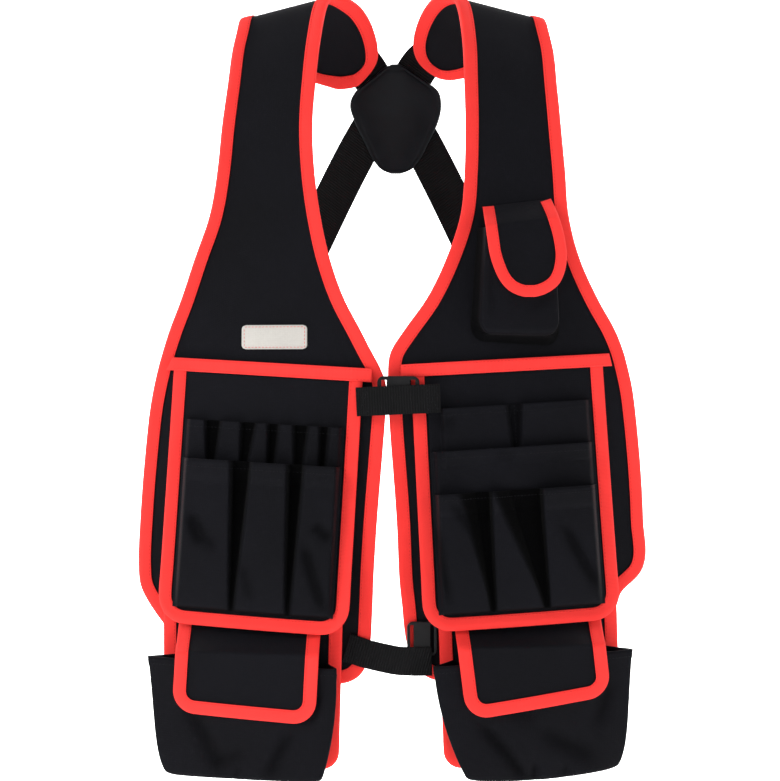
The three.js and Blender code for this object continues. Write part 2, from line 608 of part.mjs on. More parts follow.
// The band that holds the pocket panel's top to the panel
function makeBand(side, sign) {
  const quad = QUADS[side].band;
  const rows = [0, 1].map((down) => [quadPoint(sign, quad, 0, down), quadPoint(sign, quad, 1, down)]);
  clothPiece(`${side}_top_band`, rows, 7, () => BAND_LIFT, TAPE_WALL, tape);
}

// The height of a pocket panel, which hangs from its band and swings out over the pouch
function pocketPanelLift(side, sign) {
  const quad = QUADS[side].pocketPanel;
  const top = quadPoint(sign, quad, 0.5, 0)[1];
  const low = quadPoint(sign, quad, 0.5, 1)[1];
  return (x, run) => {
    const down = clamp((run - top) / (low - top), 0, 1.1);
    return POCKET_PANEL_LIFT + POCKET_PANEL_SWING * down * down;
  };
}

function makePocketPanel(side, sign) {
  const lift = pocketPanelLift(side, sign);
  const rows = roundedRows(sign, QUADS[side].pocketPanel, POCKET_CORNER, 5, 3);
  clothPiece(`${side}_pocket_panel`, rows, 6, lift, CLOTH_WALL, cloth);
  const line = edgeLine(rows, 5, false);
  bindingPiece(`${side}_pocket_panel_binding`, line, false, lift, CLOTH_WALL);
}

// How far a row of pockets stands out at a place on its panel: full between its valleys and
// nothing in them, at its sides and along its bottom
const VALLEY_ROUND = 5;
function pocketBulge(row, width, across, down) {
  if (across < row.from || across > row.to || down < row.mouth || down > row.bottom) return 0;
  const share = clamp((down - row.mouth) / (row.bottom - row.mouth), 0, 1);
  let near = Math.min(across - row.from, row.to - across) * width;
  for (const valley of row.valleys) {
    const middle = mix(valley.mouth, valley.bottom, share);
    const open = valley.open * (1 - share);
    near = Math.min(near, Math.max(0, Math.abs(across - middle) - open) * width);
  }
  const rise = 1 - Math.exp(-((near / VALLEY_ROUND) ** 2));
  return row.depth * rise * Math.sqrt(1 - share ** 1.6);
}

// Places across a row of pockets where its sheet bends: its sides, and both sides of each valley
function pocketColumns(row, width, share) {
  const ramp = 1.5 * VALLEY_ROUND / width;
  const marks = [row.from, row.from + 0.5 * ramp, row.from + ramp];
  for (const valley of row.valleys) {
    const middle = mix(valley.mouth, valley.bottom, share);
    const open = Math.max(valley.open * (1 - share), 0.001);
    marks.push(middle - open - ramp, middle - open - 0.5 * ramp, middle - open);
    marks.push(middle + open, middle + open + 0.5 * ramp, middle + open + ramp);
  }
  marks.push(row.to - ramp, row.to - 0.5 * ramp, row.to);
  return marks;
}

// The same places with even steps between them, as many in every row of points
function pocketSteps(row, width, share) {
  const widest = pocketColumns(row, width, 0.5);
  const marks = pocketColumns(row, width, share);
  return marks.flatMap((mark, k) => {
    const before = Math.max(k - 1, 0);
    const reach = (widest[k] - widest[before]) * width;
    const steps = Math.max(1, Math.ceil(reach / row.span));
    return Array.from({ length: steps }, (unused, n) => mix(marks[before], mark, (n + 1) / steps));
  });
}

// Rows of pockets, each a sheet sewn over the one before it
function makePocketRows(side, sign, names) {
  const quad = QUADS[side].pocketPanel;
  const panelLift = pocketPanelLift(side, sign);
  const width = Math.abs(quadPoint(sign, quad, 1, 0.5)[0] - quadPoint(sign, quad, 0, 0.5)[0]);
  const below = [];
  for (const name of names) {
    const row = POCKET_ROWS[`${side}_${name}`];
    const underneath = [...below];
    const heightAt = (across, down, run, x) => {
      let lift = panelLift(x, run) + NEXT_CLOTH + ON_PANEL_EASE;
      for (const other of underneath) {
        lift += NEXT_CLOTH + STACK_EASE + pocketBulge(other, width, across, down);
      }
      return lift + pocketBulge(row, width, across, down);
    };
    const grid = (face) => row.downs.map((share) => {
      const down = mix(row.mouth, row.bottom, share);
      return pocketSteps(row, width, share).map((across) => {
        const [x, run] = quadPoint(sign, quad, across, down);
        return place(x, run, heightAt(across, down, run, x) + face * CLOTH_WALL / 2);
      });
    });
    add(`${side}_${name}`, sheetSolid(grid(1), grid(-1)), cloth);
    below.push(row);
  }
}

// The cloth that hangs behind a pouch, bound down its sides and along its bottom
function makePouchBack(side, sign) {
  const height = () => POUCH_BACK_LIFT;
  const rows = roundedRows(sign, QUADS[side].pouchBack, POUCH_BACK_CORNER, 3, 2);
  clothPiece(`${side}_pouch_back`, rows, 6, height, CLOTH_WALL, cloth);
  bindingPiece(`${side}_pouch_back_binding`, edgeLine(rows, 6, false), false, height, CLOTH_WALL);
}

// A pouch with gusseted sides and bottom, open at its top
function pouchPoints(pointOnFront, pointOnSeam, seamLift, depth) {
  const half = POUCH_COLUMNS;
  const mirrored = half.slice(0, -1).reverse().map((column) => ({
    front: 1 - column.front, seam: 1 - column.seam, out: column.out,
  }));
  const columns = [...half, ...mirrored];
  return POUCH_ROWS.map((row) => columns.map((column) => {
    const out = row.out * column.out;
    const front = pointOnFront(column.front, row.front);
    const seam = pointOnSeam(column.seam, row.seam);
    const x = mix(seam[0], front[0], out);
    const run = mix(seam[1], front[1], out);
    return place(x, run, seamLift + depth * out);
  }));
}

function makePouch(side, sign) {
  const { pouchFront, pouchSeam } = QUADS[side];
  const onFront = (across, down) => quadPoint(sign, pouchFront, across, down);
  const onSeam = (across, down) => quadPoint(sign, pouchSeam, across, down);
  const points = pouchPoints(onFront, onSeam, POUCH_WALL_LIFT, POUCH_DEPTH);
  add(`${side}_pouch`, evenSheet(points, CLOTH_WALL), cloth);
}

// How far above a pouch's rim its flap has come out to the pouch's front
const FLAP_CLEAR = 6;

// The flap comes out from under the pocket panel, over the pouch's rim and down its front
function makeFlap(side, sign) {
  const { flap, pouchFront } = QUADS[side];
  const start = quadPoint(sign, flap, 0.5, 0)[1];
  const rim = quadPoint(sign, pouchFront, 1, 0)[1] - FLAP_CLEAR;
  const height = (x, run) => {
    const share = clamp((run - start) / (rim - start), 0, 1);
    return mix(FLAP_LOW_LIFT, FLAP_HIGH_LIFT, share ** 2.2);
  };
  const rows = roundedRows(sign, flap, FLAP_CORNER, 6, 3);
  clothPiece(`${side}_flap`, rows, 5, height, CLOTH_WALL, cloth);
  const line = edgeLine(rows, 5, false);
  bindingPiece(`${side}_flap_binding`, line, false, height, CLOTH_WALL, LOOSE_TAPE_GAP);
}

// The phone pouch on the right chest, under a flap with a round end
function phonePoint(across, down) {
  return [
    PHONE_POUCH_PLACE.across * HALF_WIDTH + across * PHONE_POUCH_WIDTH,
    PHONE_POUCH_PLACE.down * LENGTH + down * PHONE_POUCH_HEIGHT,
  ];
}

function phoneQuadPoint(quad, across, down) {
  const neck = [0, 1].map((k) => mix(quad.neckTop[k], quad.neckLow[k], down));
  const arm = [0, 1].map((k) => mix(quad.armTop[k], quad.armLow[k], down));
  return phonePoint(mix(neck[0], arm[0], across), mix(neck[1], arm[1], across));
}

function makePhonePouch() {
  const onFront = (across, down) => phoneQuadPoint(PHONE_QUADS.front, across, down);
  const onSeam = (across, down) => phoneQuadPoint(PHONE_QUADS.seam, across, down);
  const seamLift = PANEL_FACE + GAP + CLOTH_WALL / 2;
  const points = pouchPoints(onFront, onSeam, seamLift, PHONE_POUCH_DEPTH);
  add("phone_pouch", evenSheet(points, CLOTH_WALL), cloth);
  const low = TAPE_ON_PANEL + BOUND_CLOTH;
  const high = seamLift + PHONE_POUCH_DEPTH + CLOTH_WALL / 2 + BOUND_CLOTH + 2 * GAP;
  const topRow = PHONE_FLAP_ROWS[0];
  const rimRow = PHONE_FLAP_ROWS[3];
  const topNeck = phonePoint(topRow.neck, topRow.neckRun);
  const topArm = phonePoint(topRow.arm, topRow.armRun);
  const rise = (rimRow.neckRun - topRow.neckRun) * PHONE_POUCH_HEIGHT;
  const height = (x, run) => {
    const share = (x - topNeck[0]) / (topArm[0] - topNeck[0]);
    const below = run - mix(topNeck[1], topArm[1], share);
    return mix(low, high, clamp(below / rise, 0, 1));
  };
  const rows = PHONE_FLAP_ROWS.map((row) => [
    phonePoint(row.neck, row.neckRun), phonePoint(row.arm, row.armRun),
  ]);
  clothPiece("phone_flap", rows, 5, height, CLOTH_WALL, cloth);
  const line = edgeLine(rows, 2, false);
  bindingPiece("phone_flap_binding", line, false, height, CLOTH_WALL, 1.3 * LOOSE_TAPE_GAP);
}

// A plain woven label on the left chest
const LABEL_PLACE = { across: -0.460, down: 0.448 };
function makeLabel() {
  const x = LABEL_PLACE.across * HALF_WIDTH;
  const run = LABEL_PLACE.down * LENGTH;
  const half = LABEL_WIDTH / 2;
  const rows = [-0.5, -0.4, 0, 0.4, 0.5].map((share) => {
    const inset = Math.abs(share) === 0.5 ? 0.1 * LABEL_HEIGHT : 0;
    const at = run + share * LABEL_HEIGHT;
    return [[x - half + inset, at], [x + half - inset, at]];
  });
  const height = () => PANEL_FACE + GAP + TAPE_WALL / 2;
  clothPiece("chest_label", rows, 2, height, TAPE_WALL, label);
}

// A flat strap along middle points, with the direction of its outer face at each of them
function ribbon(points, faces, width, wall) {
  const layer = (side) => points.map((point, k) => {
    const before = points[Math.max(k - 1, 0)];
    const after = points[Math.min(k + 1, points.length - 1)];
    const along = after.clone().sub(before).normalize();
    const face = faces[k].clone().addScaledVector(along, -faces[k].dot(along)).normalize();
    const across = face.clone().cross(along).normalize();
    return [-0.5, 0.5].map((share) => point.clone()
      .addScaledVector(across, share * width).addScaledVector(face, side * wall / 2));
  });
  return sheetSolid(layer(1), layer(-1));
}

// Smooth points between the given ones
function smoothPoints(points, steps) {
  return new THREE.CatmullRomCurve3(points, false, "centripetal").getPoints(steps);
}

// A place on the wearer's back, and the direction square to it
const backAt = (drop) => readTable(BACK_PROFILE, "drop", drop, "back") * BACK_DEPTH;
function backFace(drop) {
  const step = 0.005;
  const slope = (backAt(drop + step) - backAt(drop - step)) / (2 * step * LENGTH);
  return new THREE.Vector3(0, 1, slope).normalize();
}

// Two straps that cross behind the patch, from each pad end to the other side's panel
const STRAP_STEPS = 24;
const STRAP_PASS = STRAP_WALL + GAP;
const STRAP_CROSS_ROWS = 3;
function makeBackStrap(name, sign, crossLift) {
  const points = [];
  const faces = [];
  const onPad = TAPE_ON_PANEL + GAP + 2 * ON_PANEL_EASE + STRAP_WALL / 2;
  for (const { across, run } of STRAP_ON_PAD) {
    const x = sign * across * HALF_WIDTH;
    points.push(place(x, run * LENGTH, onPad));
    faces.push(squareTo(x, run * LENGTH));
  }
  STRAP_ON_BACK.forEach(({ across, drop }, k) => {
    const face = backFace(drop);
    const middle = new THREE.Vector3(sign * across * HALF_WIDTH, backAt(drop), -drop * LENGTH);
    points.push(middle.addScaledVector(face, k < STRAP_CROSS_ROWS ? crossLift : 0));
    faces.push(face);
  });
  for (const { across, back, drop, turn } of STRAP_ROUND_SIDE) {
    const angle = THREE.MathUtils.degToRad(turn);
    points.push(new THREE.Vector3(sign * across * HALF_WIDTH, back * BACK_DEPTH, -drop * LENGTH));
    faces.push(new THREE.Vector3(-sign * Math.sin(angle), Math.cos(angle), 0));
  }
  const endX = sign * STRAP_END.across * HALF_WIDTH;
  points.push(place(endX, STRAP_END.run * LENGTH, -onPad));
  faces.push(squareTo(endX, STRAP_END.run * LENGTH));
  const path = smoothPoints(points, STRAP_STEPS);
  const faceCurve = new THREE.CatmullRomCurve3(faces, false, "centripetal");
  const faceSteps = path.map((point, k) => faceCurve.getPoint(k / STRAP_STEPS).normalize());
  add(name, ribbon(path, faceSteps, STRAP_WIDTH, STRAP_WALL), webbing);
}

// The patch lies inside the crossing, domed towards the wearer
const PATCH_PLACE = { across: 0.017, drop: 0.0753 };
const PATCH_EASE = 0.4;
function makePatch() {
  const middle = PATCH_PLACE.across * HALF_WIDTH;
  const columns = 5;
  const layer = (offset) => PATCH_ROWS.map((row) => {
    const drop = PATCH_PLACE.drop + row.drop * PATCH_HEIGHT / LENGTH;
    const points = [];
    for (let j = 0; j <= columns; j += 1) {
      const share = mix(-row.left, row.right, j / columns);
      const rim = Math.max(Math.abs(row.drop - 0.5) * 2, Math.abs(share) * 2);
      const inward = STRAP_WALL / 2 + PATCH_EASE + PATCH_DOME * (1 - rim ** 2) + offset;
      const point = new THREE.Vector3(middle + share * PATCH_WIDTH, backAt(drop), -drop * LENGTH);
      points.push(point.addScaledVector(backFace(drop), -inward));
    }
    return points;
  });
  add("back_patch", sheetSolid(layer(0), layer(PATCH_WALL)), leather);
}

// A buckle's body with rounded corners and two slots for its webbing
function buckleGeometry(width, height, thickness) {
  const radius = height * 0.18;
  const arcSteps = 3;
  const points = [];
  for (const [quarter, sx, sz] of [[0, 1, 1], [1, -1, 1], [2, -1, -1], [3, 1, -1]]) {
    for (let k = 0; k <= arcSteps; k += 1) {
      const turn = (quarter + k / arcSteps) * Math.PI / 2;
      points.push(new THREE.Vector2(
        sx * (width / 2 - radius) + radius * Math.cos(turn),
        sz * (height / 2 - radius) + radius * Math.sin(turn),
      ));
    }
  }
  const outline = new THREE.Shape(points);
  let body = solidOf(new THREE.ExtrudeGeometry(outline, { depth: thickness, bevelEnabled: false }));
  const slotHeight = Math.min(CLOSURE_WIDTH, height * 0.8);
  for (const sign of [-1, 1]) {
    const slot = new THREE.BoxGeometry(width * 0.12, slotHeight, thickness * 3);
    slot.translate(sign * width * 0.34, 0, thickness / 2);
    body = body.subtract(solidOf(slot));
  }
  const geometry = geometryOf(body);
  geometry.rotateX(Math.PI / 2);
  return geometry;
}

// The front of the vest's cloth at the middle, and the two closures across it
const frontAt = (x, drop) => bodyPoint(x, drop).y;

// Across, left and right are shares of HALF_WIDTH, and drop of LENGTH
const UPPER_CLOSURE = { drop: 0.5275, tilt: -0.045, left: -0.137, right: 0.186 };
const LOWER_CLOSURE = { drop: 0.8480, tilt: 0.120, left: -0.178, right: 0.155 };
const LOCK_PLACE = { across: 0.116, drop: 0.826 };

function makeUpperClosure() {
  const { drop, tilt, left, right } = UPPER_CLOSURE;
  const buckleLift = OVER_BANDS + POCKET_PANEL_SWING * 0.03;
  const buckleX = (left + right) / 2 * HALF_WIDTH;
  const buckleRun = drop * LENGTH - BUCKLE_HEIGHT * 0.16;
  const buckle = add("upper_closure_buckle", buckleGeometry(BUCKLE_WIDTH, BUCKLE_HEIGHT, BUCKLE_THICKNESS), plastic);
  buckle.position.set(buckleX, frontAt(0, buckleRun) - buckleLift, -buckleRun);
  const webLift = buckleLift + BUCKLE_THICKNESS + GAP + WEBBING_WALL / 2;
  const endLift = buckleLift + WEBBING_WALL / 2 + GAP;
  const shape = [
    { share: 0.00, lift: endLift }, { share: 0.06, lift: mix(endLift, webLift, 0.45) },
    { share: 0.16, lift: webLift }, { share: 0.50, lift: webLift + 0.6 },
    { share: 0.84, lift: webLift }, { share: 0.95, lift: mix(endLift, webLift, 0.6) },
    { share: 1.00, lift: mix(endLift, webLift, 0.3) },
  ];
  const points = shape.map(({ share, lift }) => {
    const x = mix(left, right, share) * HALF_WIDTH;
    const z = -drop * LENGTH - tilt * x;
    return new THREE.Vector3(x, frontAt(0, drop * LENGTH) - lift, z);
  });
  const faces = points.map(() => new THREE.Vector3(0, -1, 0));
  add("upper_closure_webbing", ribbon(points, faces, CLOSURE_WIDTH, WEBBING_WALL), webbing);
  const anchorShape = [
    [0.030, TAPE_ON_PANEL + GAP + WEBBING_WALL / 2],
    [0.052, TAPE_ON_PANEL + GAP + WEBBING_WALL / 2],
    [0.072, buckleLift - GAP - WEBBING_WALL / 2 + 0.3],
  ];
  const anchor = anchorShape.map(([across, lift]) => place(across * HALF_WIDTH, drop * LENGTH, lift));
  const anchorFaces = anchor.map(() => new THREE.Vector3(0, -1, 0));
  add("upper_closure_anchor", ribbon(anchor, anchorFaces, CLOSURE_WIDTH * 0.7, WEBBING_WALL), webbing);
}

function makeLowerClosure() {
  const { drop, tilt, left, right } = LOWER_CLOSURE;
  const lockLift = TAPE_ON_PANEL + GAP + ON_PANEL_EASE;
  const lockX = LOCK_PLACE.across * HALF_WIDTH;
  const lockRun = LOCK_PLACE.drop * LENGTH;
  const lock = add("lower_closure_buckle", buckleGeometry(LOCK_WIDTH, LOCK_HEIGHT, LOCK_THICKNESS), plastic);
  lock.position.copy(place(lockX, lockRun, lockLift));
  lock.rotation.z = Math.atan2(2 * SIDE_SETBACK * lockX, HALF_WIDTH ** 2);
  const low = TAPE_ON_PANEL + GAP + WEBBING_WALL / 2;
  const over = 2 * ON_PANEL_EASE + LOCK_THICKNESS + 2 * GAP;
  const shape = [
    { share: 0.00, out: 0.0, sag: -0.10 }, { share: 0.10, out: 0.0, sag: -0.05 },
    { share: 0.22, out: 0.8, sag: 0.02 }, { share: 0.40, out: 3.0, sag: 0.08 },
    { share: 0.60, out: 4.6, sag: 0.12 }, { share: 0.70, out: over, sag: 0.10 },
    { share: 0.85, out: over, sag: 0.06 }, { share: 1.00, out: over, sag: 0.00 },
  ];
  const points = shape.map(({ share, out, sag }) => {
    const x = mix(left, right, share) * HALF_WIDTH;
    const run = drop * LENGTH + tilt * x + sag * CLOSURE_WIDTH;
    return place(x, run, low + out);
  });
  const faces = points.map((point) => squareTo(point.x, -point.z));
  add("lower_closure_webbing", ribbon(points, faces, CLOSURE_WIDTH, WEBBING_WALL), webbing);
}

for (const [side, sign] of [["left", -1], ["right", 1]]) {
  makePanel(side, sign);
  makePocketPanel(side, sign);
  makeBand(side, sign);
  makePouchBack(side, sign);
  makePouch(side, sign);
  makeFlap(side, sign);
}
makePocketRows("left", -1, ["slots", "pockets"]);
makePocketRows("right", 1, ["flat_pockets", "wide_pocket", "pockets"]);
makePhonePouch();
makeLabel();
makeBackStrap("back_strap_left", 1, 0);
makeBackStrap("back_strap_right", -1, STRAP_PASS);
makePatch();
makeUpperClosure();
makeLowerClosure();

export default group;
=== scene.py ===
"""Looks of a utility work vest: cloth, tape, webbing, stitching and a plain studio."""
import math
import bpy
import numpy as np
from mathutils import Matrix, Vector


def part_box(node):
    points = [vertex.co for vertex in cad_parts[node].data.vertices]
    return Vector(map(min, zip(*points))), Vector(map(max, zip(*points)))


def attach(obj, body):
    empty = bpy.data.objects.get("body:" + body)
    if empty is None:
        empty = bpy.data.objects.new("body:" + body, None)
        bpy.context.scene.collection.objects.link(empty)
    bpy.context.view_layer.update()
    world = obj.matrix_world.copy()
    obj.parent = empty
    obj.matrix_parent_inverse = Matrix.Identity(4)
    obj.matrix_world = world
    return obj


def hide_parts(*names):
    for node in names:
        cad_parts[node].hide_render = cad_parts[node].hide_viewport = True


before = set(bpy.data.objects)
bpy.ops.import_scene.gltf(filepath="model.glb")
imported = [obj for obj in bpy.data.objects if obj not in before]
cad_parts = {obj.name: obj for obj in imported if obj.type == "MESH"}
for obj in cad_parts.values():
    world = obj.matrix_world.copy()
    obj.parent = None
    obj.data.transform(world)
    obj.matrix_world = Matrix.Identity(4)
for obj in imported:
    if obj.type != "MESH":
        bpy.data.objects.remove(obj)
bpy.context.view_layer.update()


def table(names, *rows):
    """Rows of numbers with named columns."""
    return [dict(zip(names.split(), row)) for row in rows]


def quad(*corners):
    return dict(zip(("neckTop", "armTop", "neckLow", "armLow"), corners))


# Sizes in millimetres
LENGTH = 720
HALF_WIDTH = 232
CHEST_DEPTH = 115
SIDE_SETBACK = 62
SHOULDER_SLOPE = 0.25
NECK_HALF_WIDTH = 55
PANEL_WALL = 3
CLOTH_WALL = 1.4
TAPE_WALL = 1
TAPE_WIDTH = 12
WEBBING_WALL = 1.6
POCKET_PANEL_SWING = 24
POCKET_DEPTH = 14
SLOT_DEPTH = 8
FLAT_POCKET_DEPTH = 7.5
POUCH_DEPTH = 29
PHONE_POUCH_WIDTH = 76
PHONE_POUCH_HEIGHT = 116
PHONE_POUCH_DEPTH = 22
POCKET_CORNER = 24
FLAP_CORNER = 19
POUCH_BACK_CORNER = 15
BACK_DEPTH = 108
STRAP_WIDTH = 38
STRAP_WALL = 2
PATCH_WIDTH = 90
PATCH_HEIGHT = 104
PATCH_WALL = 2.5
PATCH_DOME = 5
CLOSURE_WIDTH = 26
BUCKLE_WIDTH = 38
BUCKLE_HEIGHT = 33
BUCKLE_THICKNESS = 6
LOCK_WIDTH = 27
LOCK_HEIGHT = 31
LOCK_THICKNESS = 4
LABEL_WIDTH = 60
LABEL_HEIGHT = 22

# The run follows the vest from the shoulder fold down the front, and is negative down the back.
# Rows: run and rise as shares of LENGTH, ahead of CHEST_DEPTH, setback of SIDE_SETBACK,
# and slope of SHOULDER_SLOPE
PROFILE = table("run rise ahead setback slope",
    (-0.25, -0.222, -0.87, -0.2, 1), (-0.174, -0.106, -0.66, -0.2, 1),
    (-0.139, -0.078, -0.574, -0.2, 1), (-0.111, -0.0556, -0.487, -0.15, 1),
    (-0.083, -0.0333, -0.383, -0.1, 1), (-0.056, -0.0139, -0.252, 0, 1),
    (-0.031, -0.0014, -0.113, 0.15, 1), (-0.011, 0, 0, 0.3, 1),
    (0.007, -0.008, 0.104, 0.45, 1), (0.042, -0.042, 0.296, 0.7, 0.92),
    (0.083, -0.083, 0.452, 0.85, 0.65), (0.139, -0.139, 0.609, 0.95, 0.25),
    (0.208, -0.208, 0.748, 1, 0), (0.278, -0.278, 0.852, 1, 0),
    (0.361, -0.361, 0.93, 1, 0), (0.472, -0.472, 0.983, 1, 0),
    (0.625, -0.625, 1, 1, 0), (0.778, -0.778, 0.974, 1, 0),
    (0.889, -0.889, 0.94, 1, 0), (1.1, -1.1, 0.904, 1, 0))

# The outline of each panel from its hem to the end of its shoulder pad, an edge on the neck side
# and one on the arm side. Runs are shares of LENGTH, and the rest of HALF_WIDTH
PANEL_ROWS = {
  "left": table("neckRun neck armRun arm",
      (0.883, 0.276, 0.886, 0.703), (0.881, 0.181, 0.864, 0.769), (0.869, 0.121, 0.839, 0.825),
      (0.842, 0.095, 0.815, 0.894), (0.792, 0.083, 0.769, 0.991), (0.75, 0.078, 0.742, 1.003),
      (0.681, 0.065, 0.681, 0.996), (0.597, 0.044, 0.597, 0.975), (0.535, 0.03, 0.535, 0.953),
      (0.508, 0.029, 0.508, 0.937), (0.486, 0.054, 0.486, 0.921), (0.469, 0.083, 0.469, 0.906),
      (0.439, 0.131, 0.439, 0.876), (0.401, 0.193, 0.401, 0.83), (0.35, 0.249, 0.35, 0.777),
      (0.293, 0.288, 0.293, 0.716), (0.236, 0.312, 0.236, 0.687), (0.178, 0.321, 0.178, 0.672),
      (0.111, 0.309, 0.11, 0.651), (0.056, 0.293, 0.043, 0.635), (0.017, 0.274, 0.014, 0.619),
      (-0.011, 0.246, -0.011, 0.611), (-0.036, 0.192, -0.036, 0.595), (-0.064, 0.129, -0.064, 0.56),
      (-0.097, 0.085, -0.094, 0.504), (-0.131, 0.065, -0.125, 0.435), (-0.153, 0.071, -0.149, 0.362),
      (-0.168, 0.099, -0.165, 0.293), (-0.178, 0.147, -0.176, 0.224)),
  "right": table("neckRun neck armRun arm",
      (0.879, 0.224, 0.883, 0.647), (0.876, 0.155, 0.861, 0.72), (0.864, 0.106, 0.836, 0.789),
      (0.839, 0.069, 0.806, 0.858), (0.817, 0.055, 0.786, 0.89), (0.786, 0.046, 0.772, 0.903),
      (0.757, 0.036, 0.746, 0.989), (0.681, 0.025, 0.681, 0.994), (0.535, -0.007, 0.535, 0.959),
      (0.508, -0.009, 0.508, 0.946), (0.486, -0.009, 0.486, 0.93), (0.469, -0.002, 0.469, 0.916),
      (0.439, 0.057, 0.439, 0.879), (0.401, 0.141, 0.401, 0.811), (0.35, 0.218, 0.35, 0.738),
      (0.293, 0.276, 0.293, 0.693), (0.236, 0.292, 0.236, 0.681), (0.178, 0.297, 0.178, 0.668),
      (0.111, 0.294, 0.11, 0.654), (0.056, 0.289, 0.043, 0.643), (0.017, 0.274, 0.014, 0.626),
      (-0.011, 0.246, -0.011, 0.615), (-0.036, 0.183, -0.036, 0.599), (-0.064, 0.138, -0.064, 0.565),
      (-0.092, 0.108, -0.089, 0.504), (-0.121, 0.095, -0.115, 0.435), (-0.144, 0.112, -0.138, 0.366),
      (-0.157, 0.147, -0.153, 0.302), (-0.165, 0.194, -0.163, 0.246)),
}

# Four-cornered pieces by their corners on the panel: neck and arm side, top and bottom.
# Each corner is across as a share of HALF_WIDTH and down as a share of LENGTH
QUADS = {
  "left": {
    "band": quad((0.078, 0.488), (0.866, 0.473), (0.078, 0.505), (0.893, 0.489)),
    "pocketPanel": quad((0.118, 0.495), (0.855, 0.482), (0.176, 0.819), (0.919, 0.806)),
    "pouchBack": quad((0.196, 0.785), (0.899, 0.778), (0.213, 0.99), (0.899, 0.986)),
    "flap": quad((0.278, 0.786), (0.826, 0.781), (0.302, 0.928), (0.853, 0.917)),
    "pouchFront": quad((0.205, 0.861), (0.961, 0.851), (0.263, 1.002), (0.897, 0.999)),
    "pouchSeam": quad((0.254, 0.857), (0.843, 0.85), (0.269, 0.971), (0.841, 0.968)),
  },
  "right": {
    "band": quad((0.034, 0.483), (0.858, 0.468), (0.034, 0.499), (0.87, 0.484)),
    "pocketPanel": quad((0.078, 0.491), (0.825, 0.476), (0.128, 0.814), (0.893, 0.802)),
    "pouchBack": quad((0.182, 0.781), (0.882, 0.772), (0.209, 0.989), (0.905, 0.978)),
    "flap": quad((0.239, 0.786), (0.804, 0.775), (0.293, 0.922), (0.849, 0.897)),
    "pouchFront": quad((0.164, 0.858), (0.947, 0.842), (0.287, 1.003), (0.897, 0.99)),
    "pouchSeam": quad((0.241, 0.853), (0.825, 0.839), (0.267, 0.969), (0.845, 0.958)),
  },
}

# Rows of pockets on a pocket panel. Places are shares of the panel's width from its neck side
# and of its height from its top. A valley is where the row is sewn down: its place across at the
# pocket's mouth and at its bottom, and half its open width at the mouth
POCKET_ROWS = {
  "left_slots": {
    "from": 0.08, "to": 0.92, "mouth": 0.21, "bottom": 0.44, "depth": SLOT_DEPTH,
    "valleys": table("mouth bottom open",
        (0.178, 0.178, 0.008), (0.302, 0.305, 0.02), (0.447, 0.45, 0.012), (0.58, 0.6, 0.02),
        (0.772, 0.772, 0.022)),
  },
  "left_pockets": {
    "from": 0.08, "to": 0.92, "mouth": 0.36, "bottom": 0.94, "depth": POCKET_DEPTH,
    "valleys": table("mouth bottom open",
        (0.315, 0.313, 0.022), (0.605, 0.61, 0.03)),
  },
  "right_flat_pockets": {
    "from": 0.13, "to": 0.92, "mouth": 0.152, "bottom": 0.38, "depth": FLAT_POCKET_DEPTH,
    "valleys": [{"mouth": 0.52, "bottom": 0.52, "open": 0.02}],
  },
  "right_wide_pocket": {
    "from": 0.085, "to": 0.92, "mouth": 0.316, "bottom": 0.56, "depth": FLAT_POCKET_DEPTH,
    "valleys": [],
  },
  "right_pockets": {
    "from": 0.08, "to": 0.92, "mouth": 0.48, "bottom": 0.94, "depth": POCKET_DEPTH,
    "valleys": table("mouth bottom open",
        (0.326, 0.35, 0.022), (0.545, 0.626, 0.055)),
  },
}

# A pouch from its rim to where its bottom is sewn on: how far down its front and its seam have
# come, and how far out the row stands
POUCH_ROWS = table("front seam out",
    (0, 0, 1), (0.3, 0.25, 1), (0.6, 0.5, 1), (0.88, 0.72, 0.98), (0.97, 0.82, 0.92),
    (1, 0.89, 0.75), (1, 0.95, 0.38), (1, 1, 0))

# The half of a pouch from one seam to its middle: places across its front and its seam line,
# and how far out each stands
POUCH_COLUMNS = table("front seam out",
    (0, 0, 0), (0, 0.03, 0.45), (0.01, 0.07, 0.88), (0.05, 0.13, 0.98), (0.22, 0.26, 1),
    (0.5, 0.5, 1))

# The phone pouch and its flap. Across is a share of PHONE_POUCH_WIDTH from PHONE_POUCH_PLACE,
# and down is a share of PHONE_POUCH_HEIGHT
PHONE_POUCH_PLACE = {"across": 0.34, "down": 0.285}

PHONE_QUADS = {
  "front": quad((0.07, 0.16), (0.9, 0.1), (0, 1), (0.97, 1)),
  "seam": quad((-0.01, 0.16), (0.89, 0.1), (-0.11, 1.04), (0.97, 1.08)),
}

PHONE_FLAP_ROWS = table("neck neckRun arm armRun",
    (0.065, -0.01, 0.855, -0.08), (0.072, 0.045, 0.885, -0.025), (0.08, 0.1, 0.912, 0.03),
    (0.09, 0.155, 0.938, 0.085), (0.11, 0.255, 0.99, 0.205), (0.14, 0.38, 1.025, 0.365),
    (0.185, 0.475, 1.01, 0.465), (0.24, 0.555, 0.975, 0.54), (0.3, 0.61, 0.92, 0.6),
    (0.37, 0.65, 0.84, 0.643), (0.45, 0.676, 0.75, 0.673), (0.53, 0.69, 0.66, 0.689))

# The patch from its top to its bottom: half widths as shares of PATCH_WIDTH, drop of PATCH_HEIGHT
PATCH_ROWS = table("drop left right",
    (0, 0.04, 0.03), (0.03, 0.12, 0.11), (0.095, 0.215, 0.222), (0.17, 0.33, 0.355),
    (0.235, 0.425, 0.45), (0.345, 0.495, 0.49), (0.5, 0.455, 0.465), (0.7, 0.345, 0.36),
    (0.895, 0.225, 0.235), (0.97, 0.138, 0.145), (1, 0.05, 0.05))

